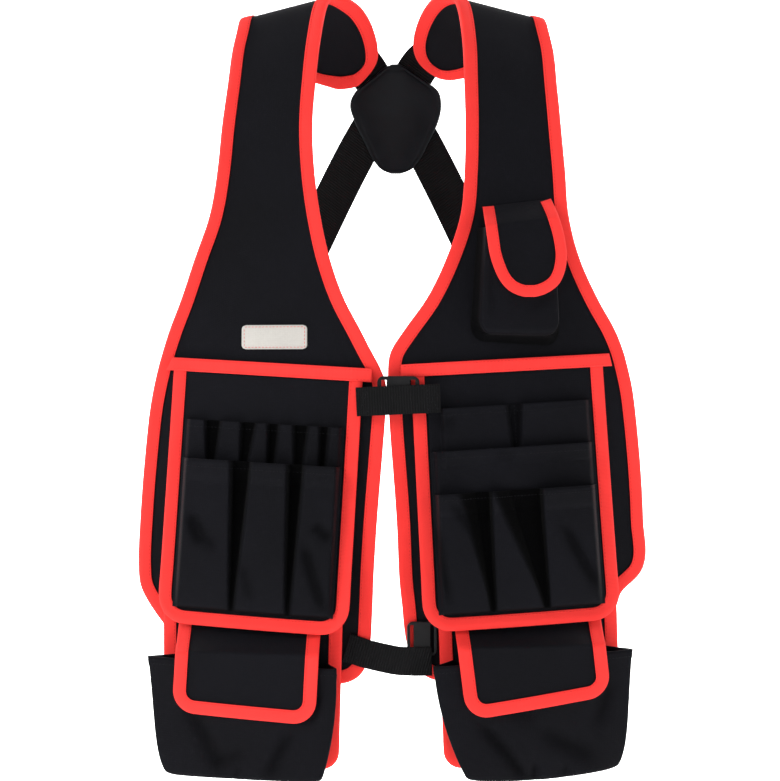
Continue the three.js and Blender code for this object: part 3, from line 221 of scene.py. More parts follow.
# How far back the straps lie down the wearer's back: drop of LENGTH and back of BACK_DEPTH
BACK_PROFILE = table("drop back",
    (0.06, 0.639), (0.083, 0.694), (0.125, 0.792), (0.167, 0.889), (0.199, 0.946), (0.247, 0.995),
    (0.313, 1.019))

# The back strap that starts on the right shoulder pad and ends inside the left panel's arm side:
# its first places on the pad, then down the middle of the back, then round the side.
# Across is a share of HALF_WIDTH, run and drop of LENGTH, and back of BACK_DEPTH. The turn is
# how far its outer face has turned from the back towards the arm side, in degrees
STRAP_ON_PAD = table("across run",
    (0.215, -0.105), (0.165, -0.132), (0.12, -0.153))

STRAP_ON_BACK = table("across drop",
    (0.06, 0.104), (-0.012, 0.126), (-0.095, 0.163), (-0.16, 0.199), (-0.237, 0.247), (-0.336, 0.313))

STRAP_ROUND_SIDE = table("across back drop turn",
    (-0.45, 0.975, 0.392, 14), (-0.6, 0.85, 0.466, 28), (-0.76, 0.56, 0.52, 52),
    (-0.868, 0.21, 0.556, 76), (-0.905, -0.14, 0.578, 98), (-0.902, -0.38, 0.592, 120))

STRAP_END = {"across": -0.76, "run": 0.606}

# Creases in the cloth: where each starts and ends, across and down its piece, and its width and
# depth in millimetres
FOLD = "a0 d0 a1 d1 wide deep"
POCKET_FOLDS = {
    "left_pockets": table(FOLD,
        (0.86, 0.56, 0.80, 0.70, 9, 2.2), (0.87, 0.58, 0.70, 0.72, 10, 1.6),
        (0.26, 0.64, 0.12, 0.93, 8, 3.0), (0.22, 0.58, 0.10, 0.64, 9, 2.4),
        (0.58, 0.74, 0.50, 0.90, 9, 1.4)),
    "right_pockets": table(FOLD,
        (0.16, 0.50, 0.28, 0.64, 8, 2.0), (0.08, 0.56, 0.13, 0.92, 7, 2.2),
        (0.72, 0.60, 0.91, 0.90, 8, 3.0), (0.46, 0.51, 0.54, 0.66, 8, 2.2)),
    "left_slots": [],
    "right_flat_pockets": table(FOLD, (0.22, 0.18, 0.12, 0.24, 12, 1.2)),
    "right_wide_pocket": table(FOLD, (0.40, 0.33, 0.52, 0.36, 12, 0.8)),
}
POUCH_FOLDS = {
    "left": table(FOLD,
        (0.22, 0.50, 0.36, 0.97, 9, 2.6), (0.80, 0.34, 0.62, 0.92, 12, 2.4),
        (0.10, 0.15, 0.16, 0.50, 8, 1.6), (0.45, 0.72, 0.70, 0.86, 10, 1.6),
        (0.50, 0.84, 0.58, 1.02, 6, 1.8)),
    "right": table(FOLD,
        (0.17, 0.44, 0.40, 1.0, 8, 3.8), (0.45, 0.56, 0.82, 0.86, 12, 2.6),
        (0.88, 0.20, 0.80, 0.62, 10, 2.0), (0.30, 0.30, 0.48, 0.52, 12, 1.4),
        (0.46, 0.80, 0.42, 1.02, 6, 2.4), (0.62, 0.84, 0.66, 1.02, 7, 1.6)),
    "phone": table(FOLD, (0.10, 0.35, 0.16, 0.85, 6, 1.4), (0.55, 0.80, 0.95, 0.62, 9, 1.2)),
}
# How fast a crease starts and stops, how far past its end it runs, how much of it goes on
# everywhere, and how steep its sides are
POCKET_CREASE = {"ease": 0.3, "end": 1.02, "rest": 0.15, "steep": 2.5}
POUCH_CREASE = {"ease": 0.35, "end": 1.05, "rest": 0.1, "steep": 2.2}

# How far a pouch's sides swell past their straight lines, and how far its bottom hangs below its
# own, in millimetres
POUCH_SWELL = {
    "left": {"mouth": 1.0, "neck": 20.0, "droopNeck": 6.5, "droopArm": 7.5, "droopMiddle": 0},
    "right": {"mouth": 5.0, "neck": 26.0, "droopNeck": 4.5, "droopArm": 8.0, "droopMiddle": 4.5},
}
ARM_MOUTH_SWELL = 4.0
ARM_SWELL = 9.0

# How soft cloth opens: the rounding of a sewn edge, how much wider a valley is than its table
# says, and how wide a pleat leans in beside its valley at the mouth, in millimetres
EDGE_ROUND = 2.4
OPEN_WIDER = 1.3
PLEAT_LEAN = {"right_pockets": 19}

# Rows and columns of each kind of piece
GRIDS = {"panel": (210, 47), "pocketPanel": (90, 57), "pouchBack": (60, 41), "flap": (70, 45),
         "phoneFlap": (64, 33), "band": (9, 181), "pockets": (56, 190), "pouch": (72, 120),
         "label": (25, 41), "patch": (61, 49)}

# Unevenness of the cloth: how high and how long its waves are, in millimetres
WAVES = {"panel": (0.7, 95), "pocketPanel": (0.45, 120), "pockets": (0.6, 45), "pouch": (1.5, 80)}

# Layer heights above the middle of the panel wall
GAP = 0.3
LOOSE_GAP = 0.5
PANEL_FACE = PANEL_WALL / 2
TAPE_ON_PANEL = PANEL_FACE + LOOSE_GAP + TAPE_WALL
BOUND_CLOTH = 2 * GAP + TAPE_WALL + CLOTH_WALL / 2
POCKET_PANEL_LIFT = PANEL_FACE + BOUND_CLOTH
POUCH_BACK_LIFT = TAPE_ON_PANEL + BOUND_CLOTH
NEXT_CLOTH = CLOTH_WALL + GAP
STACK_EASE = 1.0
ON_PANEL_EASE = 0.6
FLAP_LOW_LIFT = POUCH_BACK_LIFT + 2 * BOUND_CLOTH
POUCH_WALL_LIFT = POUCH_BACK_LIFT + NEXT_CLOTH + ON_PANEL_EASE
FLAP_HIGH_LIFT = POUCH_WALL_LIFT + POUCH_DEPTH + CLOTH_WALL / 2 + BOUND_CLOTH + LOOSE_GAP
BAND_LIFT = POCKET_PANEL_LIFT + BOUND_CLOTH + GAP + TAPE_WALL / 2
FLAP_CLEAR = 6
# Where layers stop lying square to the shoulder and lie straight ahead, as shares of LENGTH
OUTWARD_RUN = (0.08, 0.21)
FRONT = np.array([0.0, -1.0, 0.0])

# What is sewn and which sheets are declared, as the pieces are made
STITCHES = []
SHEETS = []


def mix(a, b, t):
    return a + (b - a) * t


def smooth(t):
    t = np.clip(t, 0, 1)
    return t * t * (3 - 2 * t)


def bell(t):
    return np.exp(-t ** 2)


def curve(keys, vals, at):
    """Values at any places between the keys, on a smooth curve through them."""
    slopes = np.diff(vals) / np.diff(keys)
    tangents = np.concatenate([[slopes[0]], (slopes[1:] + slopes[:-1]) / 2, [slopes[-1]]])
    at = np.asarray(at, float)
    i = np.clip(np.searchsorted(keys, at, side="left") - 1, 0, len(keys) - 2)
    span = keys[i + 1] - keys[i]
    t = np.clip((at - keys[i]) / span, 0, 1)
    t2 = t * t
    t3 = t2 * t
    return ((2 * t3 - 3 * t2 + 1) * vals[i] + (t3 - 2 * t2 + t) * span * tangents[i]
            + (3 * t2 - 2 * t3) * vals[i + 1] + (t3 - t2) * span * tangents[i + 1])


def read(rows, key, at, column):
    keys, vals = (np.array([row[name] for row in rows], float) for name in (key, column))
    return curve(keys, vals, at)


def unit(v):
    return v / np.maximum(np.linalg.norm(v, axis=-1, keepdims=True), 1e-12)


def arc_lengths(points, axis=0):
    steps = np.linalg.norm(np.diff(points, axis=axis), axis=-1)
    zero = np.zeros_like(np.take(steps, [0], axis=axis))
    return np.cumsum(np.concatenate([zero, steps], axis=axis), axis=axis)


def spread(t, s, data):
    """Points at the lengths t along data, whose own lengths are s."""
    return np.stack([np.interp(t, s, data[:, k]) for k in range(data.shape[1])], -1)


def neighbours(points, loop=False):
    if loop:
        return np.roll(points, 1, axis=0), np.roll(points, -1, axis=0)
    return np.concatenate([points[:1], points[:-1]]), np.concatenate([points[1:], points[-1:]])


def body(x, run):
    """The middle of the panel wall at x across and run down the front."""
    x = np.asarray(x, float)
    at = np.asarray(run, float) / LENGTH
    ahead, setback, slope, rise = (read(PROFILE, "run", at, column)
                                   for column in ("ahead", "setback", "slope", "rise"))
    y = -CHEST_DEPTH * ahead + SIDE_SETBACK * setback * (x / HALF_WIDTH) ** 2
    fall = SHOULDER_SLOPE * slope * (np.abs(x) - NECK_HALF_WIDTH)
    return np.stack(np.broadcast_arrays(x, y, LENGTH * rise - fall), axis=-1)


def square_to(x, run):
    across = body(x + 1, run) - body(x - 1, run)
    along = body(x, run + 1) - body(x, run - 1)
    return unit(np.cross(along, across))


def outward(x, run):
    """Square to the cloth on the shoulder, and straight ahead from the chest down."""
    start, end = OUTWARD_RUN
    share = smooth((run / LENGTH - start) / (end - start))[..., None]
    return unit(square_to(x, run) * (1 - share) + FRONT * share)


def place(x, run, height):
    return body(x, run) + outward(x, run) * np.asarray(height)[..., None]


def waves(kind, x, run, seed):
    """Slow, even unevenness of hung cloth."""
    high, size = WAVES[kind]
    rng = np.random.default_rng(seed)
    total = 0
    for k in range(5):
        angle = rng.uniform(0, math.pi)
        phase = rng.uniform(0, 2 * math.pi)
        length = size * rng.uniform(0.7, 1.8)
        ahead = np.cos(angle) * x + np.sin(angle) * run
        total = total + np.sin(ahead * 2 * math.pi / length + phase)
    return high * (total / 5)


def creases(folds, kind, across, down, width, height):
    """How deep the cloth lies in its creases, at shares across and down its width and height."""
    total = 0
    for fold in folds:
        sx, sy = (fold["a1"] - fold["a0"]) * width, (fold["d1"] - fold["d0"]) * height
        px, py = (across - fold["a0"]) * width, (down - fold["d0"]) * height
        t = np.clip((px * sx + py * sy) / (sx * sx + sy * sy), 0, 1)
        gap = np.hypot(px - t * sx, py - t * sy)
        ends = smooth(t / kind["ease"]) * smooth((kind["end"] - t) / kind["ease"]) + kind["rest"]
        total = total - fold["deep"] * ends * np.exp(-((gap / fold["wide"]) ** 2) * kind["steep"])
    return total


def link(name, data):
    obj = bpy.data.objects.new(name, data)
    bpy.context.scene.collection.objects.link(obj)
    return obj


def new_object(name, points, faces, uvs, material):
    mesh = bpy.data.meshes.new(name)
    mesh.from_pydata((points / 1000).tolist(), [], faces.tolist())
    mesh.validate()
    if uvs is not None:
        layer = mesh.uv_layers.new(name="UVMap")
        loops = np.zeros(len(mesh.loops), dtype=np.int32)
        mesh.loops.foreach_get("vertex_index", loops)
        layer.data.foreach_set("uv", (uvs[loops] / 1000).ravel())
    mesh.polygons.foreach_set("use_smooth", [True] * len(mesh.polygons))
    mesh.materials.append(material)
    obj = link(name, mesh)
    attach(obj, "root")
    return obj


def sheet_object(node, outer, inner, material, loop=False):
    """One closed solid between an outer and an inner grid of points, in place of a node."""
    rows, cols = outer.shape[:2]
    u = arc_lengths(outer, 1)
    uv = np.stack([u - u[:, cols // 2][:, None], arc_lengths(outer)], axis=-1).reshape(-1, 2)
    points = np.concatenate([outer.reshape(-1, 3), inner.reshape(-1, 3)])
    n = rows * cols
    idx = np.arange(n).reshape(rows, cols)
    if loop:
        idx = np.concatenate([idx, idx[:1]])
    edges = [(idx[:, 0], True), (idx[:, -1], False)]
    if not loop:
        edges += [(idx[0], False), (idx[-1], True)]
    a, b, c, d = idx[:-1, :-1], idx[:-1, 1:], idx[1:, 1:], idx[1:, :-1]
    parts = [np.stack([a, b, c, d], axis=-1).reshape(-1, 4),
             np.stack([a, d, c, b], axis=-1).reshape(-1, 4) + n]
    for line, flip in edges:
        p, q = line[:-1], line[1:]
        parts.append(np.stack([p, q, q + n, p + n] if flip else [p, p + n, q + n, q], axis=-1))
    faces = np.concatenate(parts)
    a, b, c, d = (points[faces[:, k]] for k in range(4))
    volume = np.einsum("ij,ij->i", a, np.cross(b, c)) + np.einsum("ij,ij->i", a, np.cross(c, d))
    if volume.sum() < 0:
        faces = faces[:, ::-1]
    obj = new_object(node + "_look", points, faces, np.concatenate([uv, uv]), material)
    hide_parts(node)
    return obj


def declare_sheet(obj, middle):
    """Says the flat size of a cloth piece from its middle surface."""
    p = middle / 1000
    width, length = (float(np.linalg.norm(np.diff(p, axis=k), axis=-1).sum(axis=k).max())
                     for k in (1, 0))
    first = np.cross(p[1:, :-1] - p[:-1, :-1], p[:-1, 1:] - p[:-1, :-1])
    second = np.cross(p[1:, 1:] - p[1:, :-1], p[1:, 1:] - p[:-1, 1:])
    area = float((np.linalg.norm(first, axis=-1) / 2 + np.linalg.norm(second, axis=-1) / 2).sum())
    area = min(area, width * length)
    SHEETS.append([obj.name, round(width, 3), round(length, 3), round(area, 4)])


def resample(rows, count):
    """Even steps along the rows of a piece, on smooth curves through the given ones."""
    steps = np.linalg.norm(np.diff(rows.mean(axis=1), axis=0), axis=1)
    steps = np.maximum(steps, 0.5 * np.linalg.norm(np.diff(rows, axis=0), axis=2).max(axis=1))
    s = np.concatenate([[0], np.cumsum(steps)])
    t = np.linspace(0, s[-1], count)
    flat = rows.reshape(-1, 4)
    return np.stack([curve(s, flat[:, k], t) for k in range(4)], -1).reshape(-1, 2, 2)


def across_rows(rows, count):
    """Even places across each row, as x and run."""
    flat = mix(rows[:, :1], rows[:, 1:], np.linspace(0, 1, count)[:, None])
    return flat[..., 0], flat[..., 1]


def edge_line(rows, closed):
    """The line round a piece: down its neck side, along its bottom and up its arm side."""
    nearest = 0.4
    starts, ends = rows[:, 0], rows[::-1, 1]
    line = [*starts]
    for first, last, tail in ((starts[-1], ends[0], ends), (ends[-1], starts[0], ())):
        if len(tail) or closed:
            count = max(2, int(np.linalg.norm(last - first) / LINE_STEP))
            line += [mix(first, last, k / count) for k in range(1, count)]
            line += [*tail]
    keep = [line[0]]
    for point in line[1:]:
        if np.linalg.norm(point - keep[-1]) > nearest:
            keep.append(point)
    line = np.array(keep)
    after = np.roll(line, -1, axis=0)
    area = (line[:, 0] * after[:, 1] - after[:, 0] * line[:, 1]).sum()
    return line if area > 0 else line[::-1]


def even_line(line, loop, step):
    points = np.concatenate([line, line[:1]]) if loop else line
    s = arc_lengths(points)
    t = np.linspace(0, s[-1], max(8, int(s[-1] / step)), endpoint=not loop)
    return spread(t, s, points), s[-1]


def offset_line(line, distance, loop):
    before, after = neighbours(line, loop)
    first = unit(line - before)
    second = unit(after - line)
    if not loop:
        first[0] = second[0]
        second[-1] = first[-1]
    along = unit(first + second)
    reach = distance / np.maximum(0.6, (along * first).sum(-1))
    return line + np.stack([-along[:, 1], along[:, 0]], -1) * reach[:, None]


def sew(kind, line, lift, loop=False):
    """A row of stitches along a flat line, on the outer face."""
    STITCHES.append((kind, place(*line.T, lift), outward(*line.T), loop))


def cloth_piece(node, rows, columns, height, wall):
    x, run = across_rows(rows, columns)
    h = height(x, run)
    outer = place(x, run, h + wall / 2)
    inner = place(x, run, h - wall / 2)
    obj = sheet_object(node, outer, inner, CLOTH)
    declare_sheet(obj, (outer + inner) / 2)


# The legs of a folded tape, from the open edge to the fold: their share of the tape's reach, and
# how far the tape stands off, because it is sewn down near its open edge
TAPE_LEGS = table("leg press",
    (1.0, -0.15), (0.93, -0.1), (0.86, -0.3), (0.7, 0.05), (0.5, 0.15), (0.3, 0.18), (0.16, 0.1),
    (0.06, -0.05), (0.0, -0.3))
SEWN_LEG = 0.86
FOLD_TURNS = (0.55, -0.55)
PUCKER = {"high": 0.16, "pitch": 3.4, "slowHigh": 0.1, "slowPitch": 11}
THREAD_SUNK = 0.12
LINE_STEP = 3.0


def binding(node, line, height, wall, gap, seam, loop=False, step=LINE_STEP, width=TAPE_WIDTH):
    """Tape folded round an edge: a rounded U in section, pressed flat where it is sewn."""
    line, total = even_line(line, loop, step)
    if loop:
        for _ in range(3):
            before, after = neighbours(line, True)
            line = line / 2 + (before + after) / 4
    reach = width - gap - TAPE_WALL
    s = np.linspace(0, total, len(line))
    pucker = (PUCKER["high"] * np.sin(s / PUCKER["pitch"] * math.pi)
              + PUCKER["slowHigh"] * np.sin(s / PUCKER["slowPitch"] + seam))
    at_edge = height(*line.T)
    legs = []
    for row in TAPE_LEGS:
        leg = row["leg"]
        flat = offset_line(line, reach * leg - (gap if leg == 0 else 0), loop)
        base = height(*flat.T) if leg > 0.3 else at_edge
        legs.append((flat, base, row["press"], pucker * (0.5 if 0.3 <= leg <= 0.93 else 0.2)))

    def layer(thick):
        half = wall / 2 + gap + thick
        fold = offset_line(line, -gap - thick, loop)
        points = []
        for side in (1, -1):
            for flat, base, press, bump in legs[::side]:
                extra = press if thick else 0.6 * press
                points.append(place(*flat.T, base + side * (half + extra + bump)))
            if side > 0:
                points += [place(*fold.T, at_edge + half * share) for share in FOLD_TURNS]
        return np.stack(points, axis=1)

    sheet_object(node, layer(TAPE_WALL), layer(0), TAPE, loop)
    seam_line = offset_line(line, reach * SEWN_LEG, loop)
    for side in (1, -1):
        lift = height(*seam_line.T) + side * (wall / 2 + gap + TAPE_WALL - THREAD_SUNK)
        points = place(*seam_line.T, lift)
        STITCHES.append(("tape", points, outward(*seam_line.T) * side, loop))


def bound_cloth(node, grid, rows, height, wall, gap, seam, closed=False, **tape):
    """A piece of cloth between its rows' ends, with tape round its edge."""
    rows = resample(rows, GRIDS[grid][0])
    cloth_piece(node, rows, GRIDS[grid][1], height, wall)
    line = edge_line(rows[::-1] if closed else rows, closed)
    binding(node + "_binding", line, height, wall, gap, seam, closed, **tape)


# A stitch from end to end: the place of each ring in its length, its size and its height
STITCH_RINGS = table("along size up",
    (-0.5, 0.35, -0.25), (-0.3, 1.0, 0.1), (0.3, 1.0, 0.1), (0.5, 0.35, -0.25))
STITCH_PITCH = 3.3
STITCH_LENGTH = 2.3
STITCH_WIDTH = 0.55


def stitch_mesh(name, runs, material):
    """Rows of small raised stitches along lines on the surface."""
    sides, rings = 4, len(STITCH_RINGS)
    angles = math.pi / 4 + np.arange(sides) * 2 * math.pi / sides
    local = np.array([[r * sides + c, r * sides + (c + 1) % sides,
                       (r + 1) * sides + (c + 1) % sides, (r + 1) * sides + c]
                      for r in range(rings - 1) for c in range(sides)])
    verts, faces = [], []
    count = 0
    for points, square, loop in runs:
        if loop:
            points = np.concatenate([points, points[:1]])
            square = np.concatenate([square, square[:1]])
        s = arc_lengths(points)
        if s[-1] < STITCH_PITCH:
            continue
        t = np.arange(STITCH_PITCH / 2, s[-1] - STITCH_PITCH / 2, STITCH_PITCH)
        middle = spread(t, s, points)
        up = unit(spread(t, s, square))
        along = unit(spread(t + 0.5, s, points) - middle + 1e-9)
        across = unit(np.cross(up, along))
        block = []
        for ring in STITCH_RINGS:
            centre = middle + along * (ring["along"] * STITCH_LENGTH)
            centre = centre + up * (ring["up"] * STITCH_WIDTH)
            radius = STITCH_WIDTH / 2 * ring["size"]
            block += [centre + across * (math.cos(a) * radius) + up * (math.sin(a) * radius)
                      for a in angles]
        verts.append(np.stack(block, axis=1).reshape(-1, 3))
        starts = np.arange(len(t)) * rings * sides + count
        faces.append((local[None] + starts[:, None, None]).reshape(-1, 4))
        count += len(t) * rings * sides
    return new_object(name, np.concatenate(verts), np.concatenate(faces), None, material)


def quad_point(sign, corners, across, down, size=(HALF_WIDTH, LENGTH)):
    across = np.asarray(across, float)[..., None]
    down = np.asarray(down, float)[..., None]
    size = np.array([sign * size[0], size[1]])
    neck_top, arm_top, neck_low, arm_low = (np.array(corner) * size for corner in corners.values())
    return mix(mix(neck_top, neck_low, down), mix(arm_top, arm_low, down), across)


def middle_runs(sign, corners):
    """Where the middle of a four-cornered piece starts and ends down the front."""
    return [quad_point(sign, corners, 0.5, down)[1] for down in (0, 1)]


def rounded_rows(sign, corners, radius):
    """Rows down a four-cornered piece with rounded lower corners."""
    straight, bends = 8, 12
    top, low = middle_runs(sign, corners)
    width = abs(quad_point(sign, corners, 1, 1)[0] - quad_point(sign, corners, 0, 1)[0])
    height = low - top
    places = [((1 - radius / height) * i / straight, 0) for i in range(straight)]
    for i in range(bends + 1):
        turn = math.pi / 2 * i / bends
        places.append((1 - radius * (1 - math.sin(turn)) / height,
                       radius * (1 - math.cos(turn)) / width))
    return np.array([[quad_point(sign, corners, across, down) for across in (inset, 1 - inset)]
                     for down, inset in places])


def new_material(name, color, roughness, specular, sheen=0.0):
    mat = bpy.data.materials.new(name)
    mat.use_nodes = True
    bsdf = mat.node_tree.nodes["Principled BSDF"]
    for socket, value in (("Base Color", (*color, 1)), ("Roughness", roughness),
                          ("Sheen Weight", sheen), ("Sheen Roughness", 0.4),
                          ("Specular IOR Level", specular)):
        bsdf.inputs[socket].default_value = value
    return mat, mat.node_tree, bsdf


def new_node(tree, kind, **inputs):
    """A node whose named inputs are numbers or come from other nodes."""
    made = tree.nodes.new("ShaderNode" + kind)
    for socket, value in inputs.items():
        if isinstance(value, bpy.types.NodeSocket):
            tree.links.new(value, made.inputs[socket])
        else:
            made.inputs[socket].default_value = value
    return made


def math_node(tree, operation, *values):
    made = tree.nodes.new("ShaderNodeMath")
    made.operation = operation
    for socket, value in zip(made.inputs, values):
        if isinstance(value, bpy.types.NodeSocket):
            tree.links.new(value, socket)
        else:
            socket.default_value = value
    return made.outputs[0]


def total(tree, *parts):
    """The sum of its parts: plain numbers, sockets, or sockets with their shares."""
    values = [math_node(tree, "MULTIPLY", *part) if isinstance(part, tuple) else part
              for part in parts]
    result = values[0]
    for value in values[1:]:
        result = math_node(tree, "ADD", result, value)
    return result


def wave_on(tree, coordinate, period):
    """A wave from 0 to 1 along a coordinate in metres."""
    turned = math_node(tree, "MULTIPLY", coordinate, 2 * math.pi / period)
    return total(tree, (math_node(tree, "SINE", turned), 0.5), 0.5)


def uv_axes(tree):
    uv = tree.nodes.new("ShaderNodeUVMap")
    uv.uv_map = "UVMap"
    split = new_node(tree, "SeparateXYZ", Vector=uv.outputs[0])
    return split.outputs[0], split.outputs[1]


def object_place(tree):
    return tree.nodes.new("ShaderNodeTexCoord").outputs["Object"]


def noise(tree, scale, detail=3.0):
    made = new_node(tree, "TexNoise", Vector=object_place(tree), Scale=scale, Detail=detail,
                    Roughness=0.55)
    return made.outputs["Fac"]


def ramp(tree, fac, *stops):
    made = new_node(tree, "ValToRGB", Fac=fac)
    for element, (at, color) in zip(made.color_ramp.elements, stops):
        element.position = at
        element.color = (*color, 1)
    return made.outputs[0]


def finish_material(tree, bsdf, color, height, strength, distance, rough=None):
    raised = new_node(tree, "Bump", Strength=strength, Distance=distance, Height=height)
    tree.links.new(raised.outputs[0], bsdf.inputs["Normal"])
    tree.links.new(color, bsdf.inputs["Base Color"])
    if rough is not None:
        tree.links.new(rough, bsdf.inputs["Roughness"])


def cloth_material(name, dark, light, thread):
    """Coarse plain-woven nylon: crossing threads, faint slubs and slow changes of shade, and painted
    shade in folds, where the colour darkens by each point's fold share.
    """
    mat, tree, bsdf = new_material(name, dark, 0.72, specular=0.07, sheen=0.01)
    u, v = uv_axes(tree)
    crossing = math_node(tree, "MULTIPLY", wave_on(tree, u, thread), wave_on(tree, v, thread))
    over = math_node(tree, "ADD", wave_on(tree, u, thread * 2), wave_on(tree, v, thread * 2))
    weave = total(tree, (crossing, 0.7), (over, 0.15))
    slow = noise(tree, 9.0, 4.0)
    fine = noise(tree, 420.0, 2.0)
    shade = total(tree, (slow, 0.55), (weave, 0.3), (fine, 0.15))
    # Painted shade: by each point's fold share the colour is mixed towards a tenth of the dark tone,
    # and the roughness rises there
    painted_shade = tree.nodes.new("ShaderNodeAttribute")
    painted_shade.attribute_name = "painted_shade"
    shadow = tree.nodes.new("ShaderNodeMix")
    shadow.data_type = "RGBA"
    tree.links.new(painted_shade.outputs["Fac"], shadow.inputs[0])
    tree.links.new(ramp(tree, shade, (0.25, dark), (0.8, light)), shadow.inputs[6])
    shadow.inputs[7].default_value = (dark[0] * 0.1, dark[1] * 0.1, dark[2] * 0.12, 1)
    rough = total(tree, (slow, 0.2), 0.6, (painted_shade.outputs["Fac"], 0.3))
    height = total(tree, weave, (fine, 0.35))
    finish_material(tree, bsdf, shadow.outputs[2], height, 0.55, 0.0003, rough)
    return mat


def ribbed_material(name, dark, light, rib, specular, depth):
    """Ribbed tape or webbing, its ribs across its length, with worn and shaded places."""
    mat, tree, bsdf = new_material(name, dark, 0.7, specular, sheen=0.01)
    u, v = uv_axes(tree)
    ribs = math_node(tree, "POWER", wave_on(tree, v, rib), 0.7)
    threads = wave_on(tree, u, rib * 0.55)
    shade = total(tree, (ribs, 0.4), (noise(tree, 30.0), 0.5), (noise(tree, 900.0, 2.0), 0.1))
    color = ramp(tree, shade, (0.15, dark), (0.75, light))
    finish_material(tree, bsdf, color, total(tree, ribs, (threads, 0.35)), 0.6, depth)
    return mat


def leather_material(name):
    mat, tree, bsdf = new_material(name, (0.003, 0.0044, 0.0062), 0.42, specular=0.12)
    grain = new_node(tree, "TexVoronoi", Vector=object_place(tree), Scale=620.0)
    slow = noise(tree, 26.0)
    color = ramp(tree, slow, (0.3, (0.0018, 0.0030, 0.0044)), (0.75, (0.0040, 0.0060, 0.0084)))
    height = total(tree, grain.outputs["Distance"], (noise(tree, 1500.0), 0.3))
    finish_material(tree, bsdf, color, height, 0.25, 0.0002, total(tree, (slow, 0.22), 0.34))
    return mat


def plastic_material(name):
    mat, tree, bsdf = new_material(name, (0.005, 0.005, 0.0055), 0.4, specular=0.16)
    slow = noise(tree, 60.0)
    color = ramp(tree, slow, (0.3, (0.004, 0.004, 0.0045)), (0.8, (0.009, 0.009, 0.010)))
    rough = total(tree, (slow, 0.25), 0.28)
    finish_material(tree, bsdf, color, noise(tree, 1800.0, 2.0), 0.12, 0.0001, rough)
    return mat


def thread_material(name, dark, light):
    mat, tree, bsdf = new_material(name, dark, 0.6, specular=0.1, sheen=0.01)
    color = ramp(tree, noise(tree, 260.0, 2.0), (0.3, dark), (0.7, light))
    finish_material(tree, bsdf, color, noise(tree, 2400.0, 2.0), 0.3, 0.0001)
    return mat


CLOTH = cloth_material("cloth_look", (0.0020, 0.0020, 0.0030), (0.0066, 0.0066, 0.0096), 0.0011)
TAPE = ribbed_material("tape_look", (0.80, 0.034, 0.030), (0.93, 0.046, 0.040),
                       rib=0.0012, specular=0.1, depth=0.00025)
WEBBING = ribbed_material("webbing_look", (0.0012, 0.0012, 0.0014), (0.0060, 0.0060, 0.0066),
                          rib=0.0024, specular=0.09, depth=0.0007)
LEATHER = leather_material("leather_look")
PLASTIC = plastic_material("plastic_look")
LABEL = cloth_material("label_look", (0.42, 0.40, 0.37), (0.64, 0.62, 0.58), 0.0008)
RED_THREAD = thread_material("red_thread_look", (0.56, 0.022, 0.020), (0.74, 0.034, 0.030))
BLACK_THREAD = thread_material("black_thread_look", (0.004, 0.004, 0.005), (0.012, 0.012, 0.015))


def make_panel(side, sign, seed):
    rows = np.array([[[sign * row[edge] * HALF_WIDTH, row[edge + "Run"] * LENGTH]
                      for edge in ("neck", "arm")] for row in PANEL_ROWS[side]])

    def height(x, run):
        chest = smooth((run - 60) / 120) * (1 - smooth((run - 560) / 60))
        return waves("panel", x, run, seed) * chest

    bound_cloth(f"{side}_panel", "panel", rows, height, PANEL_WALL, LOOSE_GAP, seed, True)


# The section of a top band, pressed down at its edges, and where it is sewn
BAND_EDGE = np.array([-0.35, -0.05, 0.05, 0.1, 0.1, 0.1, 0.05, -0.05, -0.35])[:, None]
BAND_SEAMS = (0.15, 0.86)


def make_band(side, sign):
    corners = QUADS[side]["band"]

    def height(x, run):
        return BAND_LIFT + 0.22 * np.sin(x / 1.9) * 0.4 + 0.12 * np.sin(x / 13)

    rows = np.array([[quad_point(sign, corners, a, d) for a in (0, 1)]
                     for d in np.linspace(0, 1, GRIDS["band"][0])])
    x, run = across_rows(rows, GRIDS["band"][1])
    h = height(x, run)
    outer, inner = (place(x, run, lift).transpose(1, 0, 2)
                    for lift in (h + TAPE_WALL / 2 + BAND_EDGE, h - TAPE_WALL / 2))
    sheet_object(f"{side}_top_band", outer, inner, TAPE)
    for at in BAND_SEAMS:
        start, end = quad_point(sign, corners, 0.01, at), quad_point(sign, corners, 0.99, at)
        line = mix(start, end, np.linspace(0, 1, 120)[:, None])
        sew("tape", line, height(*line.T) + TAPE_WALL / 2 - 0.05)


def pocket_panel_lift(side, sign):
    top, low = middle_runs(sign, QUADS[side]["pocketPanel"])

    def lift(x, run):
        down = np.clip((run - top) / (low - top), 0, 1.1)
        swing = POCKET_PANEL_SWING * down * down
        return POCKET_PANEL_LIFT + swing + waves("pocketPanel", x, run, 11 + sign) * down

    return lift


def make_pocket_panel(side, sign):
    rows = rounded_rows(sign, QUADS[side]["pocketPanel"], POCKET_CORNER)
    lift = pocket_panel_lift(side, sign)
    bound_cloth(f"{side}_pocket_panel", "pocketPanel", rows, lift, CLOTH_WALL, GAP, sign)


def paint_fold_shade(obj, share):
    """Keeps at each point how far it lies in a fold, for the painted shade there: the cloth material
    darkens its colour and raises its roughness by this share.
    """
    share = np.asarray(share, float).ravel()
    layer = obj.data.attributes.new("painted_shade", "FLOAT", "POINT")
    layer.data.foreach_set("value", np.concatenate([share, share]))


